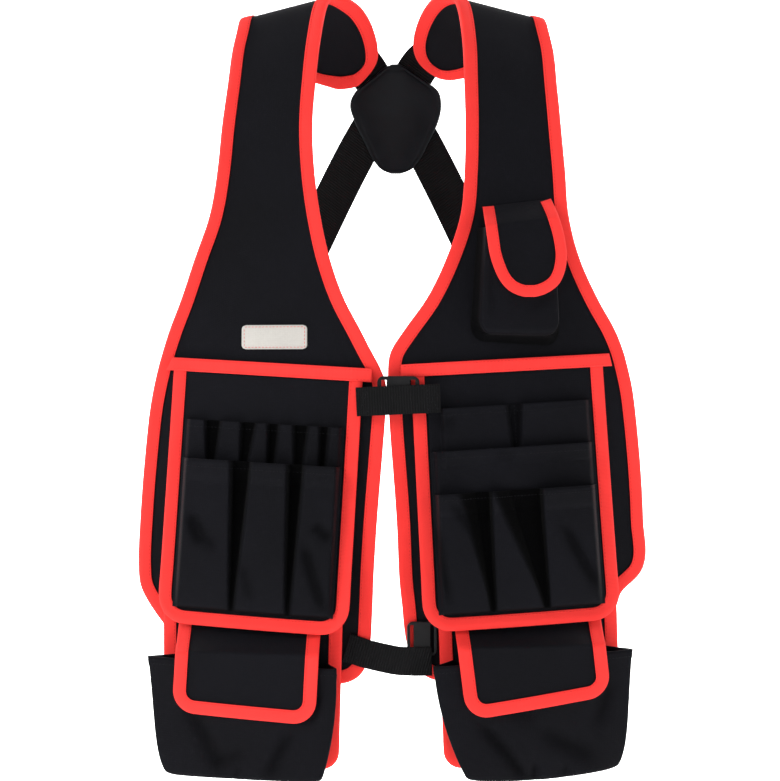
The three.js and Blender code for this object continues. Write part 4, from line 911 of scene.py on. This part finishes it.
def pocket_bulge(row, valleys, leans, width, across, down):
    """How far a row of pockets stands off its panel."""
    start, end, mouth, bottom = (row[key] for key in ("from", "to", "mouth", "bottom"))
    inside = (across >= start) & (across <= end) & (down >= mouth) & (down <= bottom)
    share = np.clip((down - mouth) / (bottom - mouth), 0, 1)
    near = np.minimum(across - start, end - across) * width
    slope = 1.0
    for valley in valleys:
        middle = mix(valley["mouth"], valley["bottom"], share)
        opened = valley["open"] * OPEN_WIDER * (1 - share)
        away = np.maximum(0, np.abs(across - middle) - opened) * width
        near = np.minimum(near, away)
        if leans:
            lean = leans * (1 - share) + 0.5
            slope = np.where(across < middle, np.minimum(slope, 0.12 + 0.88 * away / lean), slope)
    rise = (1 - bell(np.maximum(near, 0) / EDGE_ROUND)) * slope
    return np.where(inside, row["depth"] * rise * np.sqrt(np.maximum(0, 1 - share ** BULGE)), 0)


# How full a pocket stays on its way down, and the pull of its sides, in millimetres
BULGE = 1.6
SIDE_PULL = 4
# How dark the painted shade in a valley and in a crease is, by depth
DARKEST_CREASE = 0.6
CREASE_DEPTH = 2.6

# The hem of a pocket row: its width, its seam's groove and stitches, and how proud it stands
POCKET_HEM = {"width": 7.5, "groove": 7.0, "sewn": 6.4, "proud": 0.45}


def make_pocket_rows(side, sign, names):
    corners = QUADS[side]["pocketPanel"]
    panel_lift = pocket_panel_lift(side, sign)
    width = abs(quad_point(sign, corners, 1, 0.5)[0] - quad_point(sign, corners, 0, 0.5)[0])
    top, low = middle_runs(sign, corners)
    tape_share = (TAPE_WIDTH + ON_PANEL_EASE) / width
    below = []
    for name in names:
        full = f"{side}_{name}"
        row = POCKET_ROWS[full]
        start, end, mouth, bottom = (row[key] for key in ("from", "to", "mouth", "bottom"))
        down_steps, across_steps = GRIDS["pockets"]
        downs = mix(mouth, bottom, np.linspace(0, 1, down_steps) ** 0.9)
        across = np.linspace(min(start, tape_share), max(end, 1 - tape_share), across_steps)
        aa, dd = np.meshgrid(across, downs)
        flat = quad_point(sign, corners, aa, dd)
        x, run = flat[..., 0], flat[..., 1]
        own = pocket_bulge(row, row["valleys"], PLEAT_LEAN.get(full), width, aa, dd)
        full_depth = own / row["depth"]
        lift = panel_lift(x, run) + NEXT_CLOTH + ON_PANEL_EASE
        for other in below:
            lift = lift + NEXT_CLOTH + STACK_EASE + pocket_bulge(other, [], 0, width, aa, dd)
        folds = creases(POCKET_FOLDS[full], POCKET_CREASE, aa, dd, width, low - top)
        slack = waves("pockets", x, run, 31 + len(below) + sign)
        lift = lift + own + (folds + slack) * np.clip(full_depth, 0, 1)
        from_mouth = (dd - mouth) * (low - top)
        hem = POCKET_HEM["proud"] * (1 - smooth((from_mouth - POCKET_HEM["width"]) / 0.8))
        groove = -0.3 * bell((from_mouth - POCKET_HEM["groove"]) / 0.7)
        outer = place(x, run, lift + CLOTH_WALL / 2 + hem + groove)
        inner = place(x, run, lift - CLOTH_WALL / 2 - 0.5 * hem)
        obj = sheet_object(full, outer, inner, CLOTH)
        # Painted shade: the cloth between pockets where it sinks to the panel, the dark wedge beside
        # each leaning pleat, and the creases get a darker colour
        open_depth = np.sqrt(np.maximum(0.02, 1 - ((dd - mouth) / (bottom - mouth)) ** BULGE))
        between = (aa > start + SIDE_PULL / width) & (aa < end - SIDE_PULL / width)
        deep = np.clip(1 - full_depth / open_depth, 0, 1) * between
        if full in PLEAT_LEAN:
            deep = smooth(deep * 2.6)
        elif "flat" in full:
            deep = deep * 0.45
        crease_shade = np.clip(-folds / CREASE_DEPTH, 0, 1) * DARKEST_CREASE
        paint_fold_shade(obj, np.clip(np.maximum(deep ** 0.7, crease_shade), 0, 1))
        declare_sheet(obj, (outer + inner) / 2)
        pick = int(np.argmin(np.abs(from_mouth[:, 0] - POCKET_HEM["sewn"])))
        STITCHES.append(("cloth", outer[pick], outward(x[pick], run[pick]), False))
        for valley in row["valleys"] if "flat" in full else []:
            spot = mix(valley["mouth"], valley["bottom"], (downs - mouth) / (bottom - mouth))
            cols = np.clip(np.searchsorted(across, spot), 0, len(across) - 1)
            pick = np.arange(len(downs)), cols
            STITCHES.append(("cloth", outer[pick], outward(x[pick], run[pick]), False))
        below.append(row)


def make_pouch_back(side, sign):
    def height(x, run):
        return np.full(np.shape(x), float(POUCH_BACK_LIFT))

    rows = rounded_rows(sign, QUADS[side]["pouchBack"], POUCH_BACK_CORNER)
    bound_cloth(f"{side}_pouch_back", "pouchBack", rows, height, CLOTH_WALL, GAP, 2 * sign)


def pouch_grid(on_front, on_seam, seam_lift, depth, seed, sag, folds, width, height):
    """The middle surface of a pouch, how far out each place stands, and its creases."""
    def at_steps(rows, count):
        rows = [{"k": k, **row} for k, row in zip(np.linspace(0, 1, len(rows)), rows)]
        return (read(rows, "k", np.linspace(0, 1, count), key) for key in ("front", "seam", "out"))

    mirrored = [{"front": 1 - c["front"], "seam": 1 - c["seam"], "out": c["out"]}
                for c in POUCH_COLUMNS[:-1][::-1]]
    down_steps, across_steps = GRIDS["pouch"]
    rows_at = np.linspace(0, 1, down_steps)[:, None]
    row_front, row_seam, row_out = (v[:, None] for v in at_steps(POUCH_ROWS, down_steps))
    front, seam, out = (v[None, :] for v in at_steps([*POUCH_COLUMNS, *mirrored], across_steps))
    middle = np.clip(front, 0, 1)
    out = np.clip(row_out, 0, 1.0) * np.clip(out, 0, 1.0)
    across, down = np.broadcast_arrays(front, row_front)
    flat = mix(on_seam(*np.broadcast_arrays(seam, row_seam)), on_front(across, down), out[..., None])
    x, run = flat[..., 0], flat[..., 1]
    soft = smooth(out * 1.2) * sag
    slack = waves("pouch", x, run, seed) * soft * smooth(rows_at * 4)
    rim_dip = -1.2 * np.sin(middle * math.pi) * (1 - smooth(rows_at * 5)) * soft
    folded = creases(folds, POUCH_CREASE, across, down, width, height) * soft
    return place(x, run, seam_lift + depth * out + slack + rim_dip + folded), out, folded


# The hem of a pouch: its width, its seam's groove and its stitches, in millimetres
POUCH_HEM = {"width": 8.5, "groove": 7.8, "sewn": 7.2}


def make_pouch_object(node, grid, hem):
    up, down = neighbours(grid)
    before, after = (v.swapaxes(0, 1) for v in neighbours(grid.swapaxes(0, 1)))
    square = unit(np.cross(down - up, after - before))
    if square[grid.shape[0] // 2, grid.shape[1] // 2][1] > 0:
        square = -square
    outer, inner = grid + square * CLOTH_WALL / 2, grid - square * CLOTH_WALL / 2
    s = arc_lengths(grid)
    if hem:
        lip = 0.5 * (1 - smooth((s - POUCH_HEM["width"]) / 0.9))
        lip = lip - 0.3 * bell((s - POUCH_HEM["groove"]) / 0.7)
        outer = outer + square * lip[..., None]
    obj = sheet_object(node, outer, inner, CLOTH)
    declare_sheet(obj, grid)
    if hem:
        row = int(np.argmin(np.abs(s[:, grid.shape[1] // 2] - POUCH_HEM["sewn"])))
        STITCHES.append(("cloth", outer[row], square[row], False))
    return obj


def make_pouch(side, sign, seed):
    front, seam, swell = QUADS[side]["pouchFront"], QUADS[side]["pouchSeam"], POUCH_SWELL[side]

    def on_front(a, d):
        neck = swell["mouth"] * (1 - d) + swell["neck"] * d * (1 - d)
        arm = ARM_MOUTH_SWELL * (1 - d) + ARM_SWELL * d ** 1.2 * (1 - d ** 6)
        push = sign * (arm * smooth((a - 0.55) / 0.45) - neck * smooth((0.45 - a) / 0.45))
        low = mix(swell["droopNeck"], swell["droopArm"], a)
        low = low + swell["droopMiddle"] * np.sin(math.pi * np.clip(a, 0, 1))
        return quad_point(sign, front, a, d) + np.stack([push, low * d ** 3], -1)

    grid, _, folded = pouch_grid(on_front, lambda a, d: quad_point(sign, seam, a, d), POUCH_WALL_LIFT,
                                 POUCH_DEPTH, seed, 1.0, POUCH_FOLDS[side], 180, 115)
    # Painted shade darkens the colour in the pouch's creases
    paint_fold_shade(make_pouch_object(f"{side}_pouch", grid, True), np.clip(-folded / 3.0, 0, 1) * 0.55)


def make_flap(side, sign):
    flap = QUADS[side]["flap"]
    start = middle_runs(sign, flap)[0]
    rim = quad_point(sign, QUADS[side]["pouchFront"], 1, 0)[1] - FLAP_CLEAR

    def height(x, run):
        share = np.clip((run - start) / (rim - start), 0, 1)
        below = np.clip((run - rim) / 60, 0, 1)
        out = mix(FLAP_LOW_LIFT, FLAP_HIGH_LIFT + 0.4, share ** 2.2)
        return out + 0.4 * np.sin(x / 17 + sign) * below

    rows = rounded_rows(sign, flap, FLAP_CORNER)
    bound_cloth(f"{side}_flap", "flap", rows, height, CLOTH_WALL, LOOSE_GAP, 3 * sign)


PHONE_TAPE_WIDTH = 10.4


def phone_point(across, down):
    return np.stack([PHONE_POUCH_PLACE["across"] * HALF_WIDTH + across * PHONE_POUCH_WIDTH,
                     PHONE_POUCH_PLACE["down"] * LENGTH + down * PHONE_POUCH_HEIGHT], -1)


def rounded_phone(corners):
    def on(a, d):
        turn = np.clip((d - 0.86) / 0.14, 0, 1)
        inset = 0.17 * (1 - np.sqrt(np.maximum(0, 1 - turn ** 2)))
        spot = quad_point(1, corners, 0.5 + (a - 0.5) * (1 - 2 * inset), d, (1, 1))
        return phone_point(spot[..., 0], spot[..., 1])

    return on


def make_phone_pouch():
    seam_lift = PANEL_FACE + GAP + CLOTH_WALL / 2 + 1.0
    grid, out, folded = pouch_grid(rounded_phone(PHONE_QUADS["front"]),
                                   rounded_phone(PHONE_QUADS["seam"]), seam_lift,
                                   PHONE_POUCH_DEPTH, 71, 0.6, POUCH_FOLDS["phone"], 75, 110)
    # Painted shade darkens the colour in the creases and on the sides where the pouch turns back to
    # its seam
    painted_shade = np.maximum(np.clip(-folded / 2.0, 0, 1) * 0.5, 0.85 * smooth((0.9 - out) * 2.2))
    paint_fold_shade(make_pouch_object("phone_pouch", grid, False), painted_shade)
    low = TAPE_ON_PANEL + BOUND_CLOTH
    high = seam_lift + PHONE_POUCH_DEPTH + CLOTH_WALL / 2 + BOUND_CLOTH + 2 * GAP
    rows = np.array([[phone_point(row[side], row[side + "Run"]) for side in ("neck", "arm")]
                     for row in PHONE_FLAP_ROWS])
    top_neck, top_arm = rows[0]
    rise = (PHONE_FLAP_ROWS[3]["neckRun"] - PHONE_FLAP_ROWS[0]["neckRun"]) * PHONE_POUCH_HEIGHT

    def height(x, run):
        share = (x - top_neck[0]) / (top_arm[0] - top_neck[0])
        t = np.clip((run - mix(top_neck[1], top_arm[1], share)) / rise, 0, 1)
        return mix(low, high, mix(t, np.sin(t * math.pi / 2), 0.35))

    bound_cloth("phone_flap", "phoneFlap", rows, height, CLOTH_WALL, LOOSE_GAP, 5,
                step=2.0, width=PHONE_TAPE_WIDTH)
    for back in (2.0, 4.5):
        line = mix(top_neck, top_arm, np.linspace(0.03, 0.97, 60)[:, None]) + np.array([0.0, back])
        sew("cloth", line, height(*line.T) + CLOTH_WALL / 2)


# The label's middle, the rounding of its corners as a share of its height, and its seam
LABEL_PLACE = {"across": -0.460, "down": 0.448, "corner": 0.18, "seamAcross": 0.46, "seamDown": 0.42}


def make_label():
    middle = np.array([LABEL_PLACE["across"] * HALF_WIDTH, LABEL_PLACE["down"] * LENGTH])
    rows_at, share = (np.linspace(-0.5, 0.5, count) for count in GRIDS["label"])
    rows_at = rows_at[:, None]
    radius = LABEL_PLACE["corner"] * LABEL_HEIGHT
    near = np.clip(np.abs(rows_at) - 0.5 + radius / LABEL_HEIGHT, 0, None) * LABEL_HEIGHT
    inset = radius - np.sqrt(np.maximum(0, radius ** 2 - near ** 2))
    x = middle[0] + 2 * share * (LABEL_WIDTH / 2 - inset)
    run = middle[1] + rows_at * LABEL_HEIGHT + 0 * x
    edge = LABEL_WIDTH * np.minimum(0.5 - np.abs(share),
                                    (0.5 - np.abs(rows_at)) * LABEL_HEIGHT / LABEL_WIDTH)
    raised = 0.35 * smooth(edge / 1.2) - 0.2 * bell((edge - 2.4) / 0.5)
    height = PANEL_FACE + GAP + TAPE_WALL / 2 + waves("panel", x, run, 3)
    outer = place(x, run, height + TAPE_WALL / 2 + raised - 0.2)
    sheet_object("chest_label", outer, place(x, run, height - TAPE_WALL / 2), LABEL)
    ring = np.array([(-1, -1), (1, -1), (1, 1), (-1, 1)])
    ring = ring * (LABEL_PLACE["seamAcross"], LABEL_PLACE["seamDown"])
    line, _ = even_line(middle + ring * (LABEL_WIDTH, LABEL_HEIGHT), True, 1.5)
    sew("tape", line, PANEL_FACE + GAP + TAPE_WALL + 0.1 + waves("panel", *line.T, 3), True)


def catmull(points, count):
    """Even steps along a centripetal curve through the points."""
    p = np.asarray(points, float)
    p = np.concatenate([[2 * p[0] - p[1]], p, [2 * p[-1] - p[-2]]])
    out = []
    spans = len(p) - 3
    for step in range(count + 1):
        at = step / count * spans
        i = min(int(at), spans - 1)
        w = at - i
        p0, p1, p2, p3 = p[i:i + 4]
        d1, d2, d3 = (max(np.linalg.norm(p[i + k + 1] - p[i + k]), 1e-6) ** 0.5 for k in range(3))
        m1 = d2 * ((p1 - p0) / d1 - (p2 - p0) / (d1 + d2) + (p2 - p1) / d2)
        m2 = d2 * ((p2 - p1) / d2 - (p3 - p1) / (d2 + d3) + (p3 - p2) / d3)
        w2, w3 = w * w, w * w * w
        out.append((2 * w3 - 3 * w2 + 1) * p1 + (w3 - 2 * w2 + w) * m1
                   + (3 * w2 - 2 * w3) * p2 + (w3 - w2) * m2)
    return np.array(out)


# A ribbon's section: places across it and how thick it is there
RIBBON_SECTION = table("share thick",
    (-0.5, 0.45), (-0.485, 0.8), (-0.45, 1), (-0.3, 1), (-0.1, 1), (0.1, 1), (0.3, 1), (0.45, 1),
    (0.485, 0.8), (0.5, 0.45))
SHORTEST_SHEET = 12
BOX_STITCH_SHARE = 0.42
# Where the webbing is sewn, by length from its start, or from its end where negative
SEWN_BOXES = {"strap": [(4, 26), (-22, -4)], "upper": [(3, 12), (-12, -3)], "lower": [(2, 12)]}


def make_webbing(node, points, faces, width, wall, sewn=()):
    """Flat webbing along points, with stitched boxes at the given lengths."""
    before, after = neighbours(points)
    along = unit(after - before)
    face = unit(faces - along * (faces * along).sum(-1, keepdims=True))
    across = unit(np.cross(face, along))
    share, thick = (np.array([row[key] for row in RIBBON_SECTION]) for key in ("share", "thick"))
    middle = points[:, None] + across[:, None] * (share * width)[None, :, None]
    outer, inner = (middle + face[:, None] * (side * wall / 2 * thick)[None, :, None]
                    for side in (1, -1))
    obj = sheet_object(node, outer, inner, WEBBING)
    s = arc_lengths(points)
    if s[-1] > SHORTEST_SHEET:
        declare_sheet(obj, (outer + inner) / 2)
    steps, ends = (np.linspace(0, 1, count)[:, None] for count in (30, 12))
    for span in sewn:
        begin, finish = (at if at >= 0 else s[-1] + at for at in span)
        t = np.linspace(begin, finish, 30)
        mid, acr, fac = (spread(t, s, data) for data in (points, across, face))
        acr, fac = unit(acr), unit(fac)
        for side in (1, -1):
            a, b = (mid + acr * (hand * width * BOX_STITCH_SHARE) + fac * (side * wall / 2)
                    for hand in (-1, 1))
            for line in (a, b, a + (b - a) * steps, b + (a - b) * steps,
                         a[:1] + (b[:1] - a[:1]) * ends, a[-1:] + (b[-1:] - a[-1:]) * ends):
                square = np.broadcast_to(fac[len(fac) // 2] * side, line.shape)
                STITCHES.append(("webbing", line, square, False))


def back_at(drop):
    return read(BACK_PROFILE, "drop", drop, "back") * BACK_DEPTH


def back_face(drop):
    slope = (back_at(drop + 0.005) - back_at(drop - 0.005)) / (0.01 * LENGTH)
    return unit(np.stack([np.zeros_like(slope), np.ones_like(slope), slope], -1))


def make_back_strap(node, sign, cross_lift):
    """A strap from one shoulder pad over the back and round the other side."""
    points, faces = [], []
    on_pad = TAPE_ON_PANEL + GAP + 1.1 + STRAP_WALL / 2

    def add_on_panel(row, lift):
        at = sign * row["across"] * HALF_WIDTH, row["run"] * LENGTH
        points.append(place(*at, lift))
        faces.append(square_to(*at))

    def add_behind(row, back, face, lift=0):
        middle = np.array([sign * row["across"] * HALF_WIDTH, back, -row["drop"] * LENGTH])
        points.append(middle + face * lift)
        faces.append(face)

    for row in STRAP_ON_PAD:
        add_on_panel(row, on_pad)
    for k, row in enumerate(STRAP_ON_BACK):
        drop = np.array(row["drop"])
        add_behind(row, float(back_at(drop)), back_face(drop), cross_lift if k < 3 else 0)
    for row in STRAP_ROUND_SIDE:
        angle = math.radians(row["turn"])
        face = np.array([-sign * math.sin(angle), math.cos(angle), 0.0])
        add_behind(row, row["back"] * BACK_DEPTH, face)
    add_on_panel(STRAP_END, -on_pad)
    make_webbing(node, catmull(points, 150), unit(catmull(faces, 150)), STRAP_WIDTH, STRAP_WALL,
                 SEWN_BOXES["strap"])


# The patch's middle and top, and how far it stands off the straps
PATCH_PLACE = {"across": 0.017, "drop": 0.0753}
PATCH_CLEAR = 0.4


def make_patch():
    down_steps, across_steps = GRIDS["patch"]
    drop_share = 0.5 - 0.5 * np.cos(np.linspace(0, 1, down_steps) * math.pi)
    left, right = (np.maximum(read(PATCH_ROWS, "drop", drop_share, key), 0.01)[:, None]
                   for key in ("left", "right"))
    cols = np.linspace(0, 1, across_steps)
    share = mix(-left, right, cols)
    drop = PATCH_PLACE["drop"] + drop_share * PATCH_HEIGHT / LENGTH
    across_rim = np.minimum(cols, 1 - cols) * (left + right) * PATCH_WIDTH
    rim = np.minimum(across_rim, (np.minimum(drop_share, 1 - drop_share) * PATCH_HEIGHT)[:, None])
    bow = np.maximum(0, 1 - (2 * cols - 1) ** 2)
    bow = bow * np.sqrt(np.maximum(0, 1 - (2 * drop_share - 1) ** 2))[:, None]
    dome = PATCH_DOME * bow + 0.9 * bell((rim - 2.0) / 1.1) - 0.5 * bell((rim - 4.4) / 1.0)
    face = back_face(drop)[:, None]
    base = np.stack(np.broadcast_arrays(PATCH_PLACE["across"] * HALF_WIDTH + share * PATCH_WIDTH,
                                        back_at(drop)[:, None], (-drop * LENGTH)[:, None]), -1)
    off = STRAP_WALL / 2 + PATCH_CLEAR
    front = base - face * (off + PATCH_WALL + dome)[..., None]
    sheet_object("back_patch", front, base - face * off, LEATHER)


def make_buckle(node, width, height, thickness, centre, turn):
    """A moulded buckle: a rounded frame with two slots, a middle bar and softened edges."""
    radius = height * 0.18
    outline = []
    for quarter, sx, sz in ((0, 1, 1), (1, -1, 1), (2, -1, -1), (3, 1, -1)):
        for k in range(9):
            a = (quarter + k / 8) * math.pi / 2
            outline.append((sx * (width / 2 - radius) + radius * math.cos(a),
                            sz * (height / 2 - radius) + radius * math.sin(a)))
    half_width, half_height = width * 0.06, min(CLOSURE_WIDTH, height * 0.8) / 2
    slots = [[(cx - half_width, -half_height), (cx - half_width, half_height),
              (cx + half_width, half_height), (cx + half_width, -half_height)]
             for cx in (-width * 0.34, width * 0.34)]
    edge = 0.0007
    curve = bpy.data.curves.new(node, "CURVE")
    curve.dimensions = "2D"
    curve.fill_mode = "BOTH"
    for loop in (outline, *slots):
        spline = curve.splines.new("POLY")
        spline.points.add(len(loop) - 1)
        for point, (a, b) in zip(spline.points, loop):
            point.co = (a / 1000, b / 1000, 0, 1)
        spline.use_cyclic_u = True
    curve.extrude = thickness / 2000 - edge
    curve.bevel_depth = edge
    curve.bevel_resolution = 3
    curve.offset = -edge
    made = link(node + "_curve", curve)
    bpy.context.view_layer.update()
    mesh = bpy.data.meshes.new_from_object(made)
    bpy.data.objects.remove(made)
    points = np.zeros(len(mesh.vertices) * 3)
    mesh.vertices.foreach_get("co", points)
    x, z, y = points.reshape(-1, 3).T
    y = -y - thickness / 2000
    c, s = math.cos(turn), math.sin(turn)
    points = np.stack([x * c - y * s, x * s + y * c, z], -1) + np.array(centre) / 1000
    mesh.vertices.foreach_set("co", points.ravel())
    mesh.materials.clear()
    mesh.materials.append(PLASTIC)
    obj = link(node + "_look", mesh)
    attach(obj, "root")
    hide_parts(node)


# The closures: how far down they run, how they slope, and where they start and end across.
# Then the upper one's webbing by shares along it and from its ends' depth to its face's, and the
# lower one's by share, height above its low end, and sag as a share of its width
UPPER_CLOSURE = {"drop": 0.5275, "tilt": -0.045, "left": -0.137, "right": 0.186}
UPPER_WEBBING = table("share out bow",
    (0.0, 0, 0), (0.06, 0.45, 0), (0.16, 1, 0), (0.5, 1, 0.6), (0.84, 1, 0), (0.95, 0.6, 0),
    (1.0, 0.3, 0))
ANCHOR = table("across lift", (0.030, 1.3), (0.052, 1.4), (0.072, 2.6))
LOWER_CLOSURE = {"drop": 0.8480, "tilt": 0.120, "left": -0.178, "right": 0.155,
                 "lockAcross": 0.116, "lockDrop": 0.826}
OVER_LOCK = 1.2 + LOCK_THICKNESS + 0.7
LOWER_WEBBING = table("share out sag",
    (0.0, 0.0, -0.10), (0.10, 0.0, -0.05), (0.22, 0.8, 0.02), (0.40, 3.0, 0.08),
    (0.60, 4.6, 0.12), (0.70, OVER_LOCK, 0.10), (0.85, OVER_LOCK, 0.06), (1.0, OVER_LOCK, 0.0))


def make_upper_closure():
    at = UPPER_CLOSURE
    centre_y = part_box("upper_closure_buckle")[1][1] * 1000
    make_buckle("upper_closure_buckle", BUCKLE_WIDTH, BUCKLE_HEIGHT, BUCKLE_THICKNESS,
                ((at["left"] + at["right"]) / 2 * HALF_WIDTH, centre_y,
                 -(at["drop"] * LENGTH - BUCKLE_HEIGHT * 0.16)), 0.0)
    web_y = centre_y - BUCKLE_THICKNESS - GAP - WEBBING_WALL / 2
    end_y = centre_y - WEBBING_WALL / 2 - GAP
    points = []
    for row in UPPER_WEBBING:
        x = mix(at["left"], at["right"], row["share"]) * HALF_WIDTH
        y = mix(end_y, web_y, row["out"]) - row["bow"]
        points.append([x, y, -at["drop"] * LENGTH - at["tilt"] * x])
    path = catmull(points, 60)
    faces = np.broadcast_to(FRONT, path.shape)
    make_webbing("upper_closure_webbing", path, faces, CLOSURE_WIDTH, WEBBING_WALL,
                 SEWN_BOXES["upper"])
    path = catmull([place(row["across"] * HALF_WIDTH, at["drop"] * LENGTH,
                          TAPE_ON_PANEL + GAP + row["lift"]) for row in ANCHOR], 16)
    faces = np.broadcast_to(FRONT, path.shape)
    make_webbing("upper_closure_anchor", path, faces, CLOSURE_WIDTH * 0.7, WEBBING_WALL)


def make_lower_closure():
    at = LOWER_CLOSURE
    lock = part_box("lower_closure_buckle")
    lock_x, lock_run = at["lockAcross"] * HALF_WIDTH, at["lockDrop"] * LENGTH
    centre_y = (lock[0][1] + lock[1][1]) / 2 * 1000 + LOCK_THICKNESS / 2
    turn = math.atan2(2 * SIDE_SETBACK * lock_x, HALF_WIDTH ** 2)
    make_buckle("lower_closure_buckle", LOCK_WIDTH, LOCK_HEIGHT, LOCK_THICKNESS,
                (lock_x, centre_y, -lock_run), turn)
    low = PANEL_WALL / 2 + 1.0 + TAPE_WALL + 0.35 + WEBBING_WALL / 2
    points = []
    for row in LOWER_WEBBING:
        x = mix(at["left"], at["right"], row["share"]) * HALF_WIDTH
        run = at["drop"] * LENGTH + at["tilt"] * x + row["sag"] * CLOSURE_WIDTH
        points.append(place(x, run, low + row["out"]))
    path = catmull(points, 60)
    make_webbing("lower_closure_webbing", path, square_to(path[:, 0], -path[:, 2]), CLOSURE_WIDTH,
                 WEBBING_WALL, SEWN_BOXES["lower"])


for side, sign, seed in (("left", -1, 5), ("right", 1, 8)):
    make_panel(side, sign, seed)
    make_band(side, sign)
    make_pocket_panel(side, sign)
    make_pouch_back(side, sign)
    make_pouch(side, sign, seed + 40)
    make_flap(side, sign)
make_pocket_rows("left", -1, ["slots", "pockets"])
make_pocket_rows("right", 1, ["flat_pockets", "wide_pocket", "pockets"])
make_phone_pouch()
make_label()
make_back_strap("back_strap_left", 1, 0)
make_back_strap("back_strap_right", -1, STRAP_WALL + GAP)
make_patch()
make_upper_closure()
make_lower_closure()
for kind, material in (("tape", RED_THREAD), ("cloth", BLACK_THREAD), ("webbing", BLACK_THREAD)):
    runs = [run for stitched, *run in STITCHES if stitched == kind]
    stitch_mesh(f"{kind}_stitches", runs, material)


# The studio, in metres: a paper sweep, lights, a white world and a camera
FLOOR = -1.15
SWEEP = {"front": -9.0, "bend": 5.0, "radius": 1.6, "top": 9.0, "side": 11.0}
LIGHTS = (
    ("key", (-2.2, -2.2, 1.3), (0, 0, -0.36), (1.3, 1.3), 50),
    ("fill", (2.4, -2.5, 0.2), (0, 0, -0.36), (1.8, 1.8), 5),
    ("top", (0, -0.4, 2.4), (0, 0, -0.36), (2.0, 1.4), 14),
    ("paper_left", (-4.2, 3.2, 2.4), (1.0, 6.6, -0.3), (2.4, 2.4), 330),
    ("paper_right", (4.2, 3.2, 2.4), (-1.0, 6.6, -0.3), (2.4, 2.4), 330),
)
WORLD_STRENGTH = 0.6
CAMERA_PLACE = (-0.0018, -2.62, -0.371)
CAMERA_REACH = 2.5
METRES_PER_PIXEL = 0.0009
IMAGE_WIDTH = 780
SENSOR_WIDTH = 36


def stage_material():
    mat, tree, bsdf = new_material("studio_paper", (0.93, 0.93, 0.93), 0.9, 0.5)
    color = ramp(tree, noise(tree, 1.5, 2.0), (0.3, (0.92, 0.92, 0.92)), (0.7, (0.94, 0.94, 0.94)))
    tree.links.new(color, bsdf.inputs["Base Color"])
    bsdf.inputs["Emission Color"].default_value = (1, 1, 1, 1)
    bsdf.inputs["Emission Strength"].default_value = 0.72
    return mat


def make_stage():
    bend, radius = SWEEP["bend"], SWEEP["radius"]
    profile = [(SWEEP["front"], FLOOR), (bend, FLOOR)]
    for k in range(1, 13):
        a = k / 12 * math.pi / 2
        profile.append((bend + radius * math.sin(a), FLOOR + radius * (1 - math.cos(a))))
    profile.append((bend + radius, SWEEP["top"]))
    verts = [(x, y, z) for y, z in profile for x in (-SWEEP["side"], SWEEP["side"])]
    faces = [(2 * k, 2 * k + 1, 2 * k + 3, 2 * k + 2) for k in range(len(profile) - 1)]
    mesh = bpy.data.meshes.new("studio_paper")
    mesh.from_pydata(verts, [], faces)
    mesh.polygons.foreach_set("use_smooth", [True] * len(mesh.polygons))
    mesh.materials.append(stage_material())
    link("studio_paper", mesh)


def area_light(name, at, target, size, power):
    data = bpy.data.lights.new(name, "AREA")
    data.shape = "RECTANGLE"
    data.size, data.size_y = size
    data.energy = power
    obj = link(name, data)
    obj.location = at
    obj.rotation_euler = (Vector(target) - Vector(at)).to_track_quat("-Z", "Y").to_euler()


make_stage()
for light in LIGHTS:
    area_light(*light)
world = bpy.data.worlds.new("studio")
world.use_nodes = True
world.node_tree.nodes["Background"].inputs[0].default_value = (1, 1, 1, 1)
world.node_tree.nodes["Background"].inputs[1].default_value = WORLD_STRENGTH
scene = bpy.context.scene
scene.world = world
scene.view_settings.view_transform = "Standard"
scene.view_settings.look = "None"

camera_data = bpy.data.cameras.new("camera")
camera_data.sensor_width = SENSOR_WIDTH
camera_data.sensor_fit = "HORIZONTAL"
camera_data.lens = SENSOR_WIDTH * CAMERA_REACH / (IMAGE_WIDTH * METRES_PER_PIXEL)
camera_data.clip_end = 30
camera = link("camera", camera_data)
camera.location = CAMERA_PLACE
camera.rotation_euler = (math.pi / 2, 0, 0)
scene.camera = camera

bpy.context.view_layer.update()
for row in SHEETS:
    print("sheet", *row)
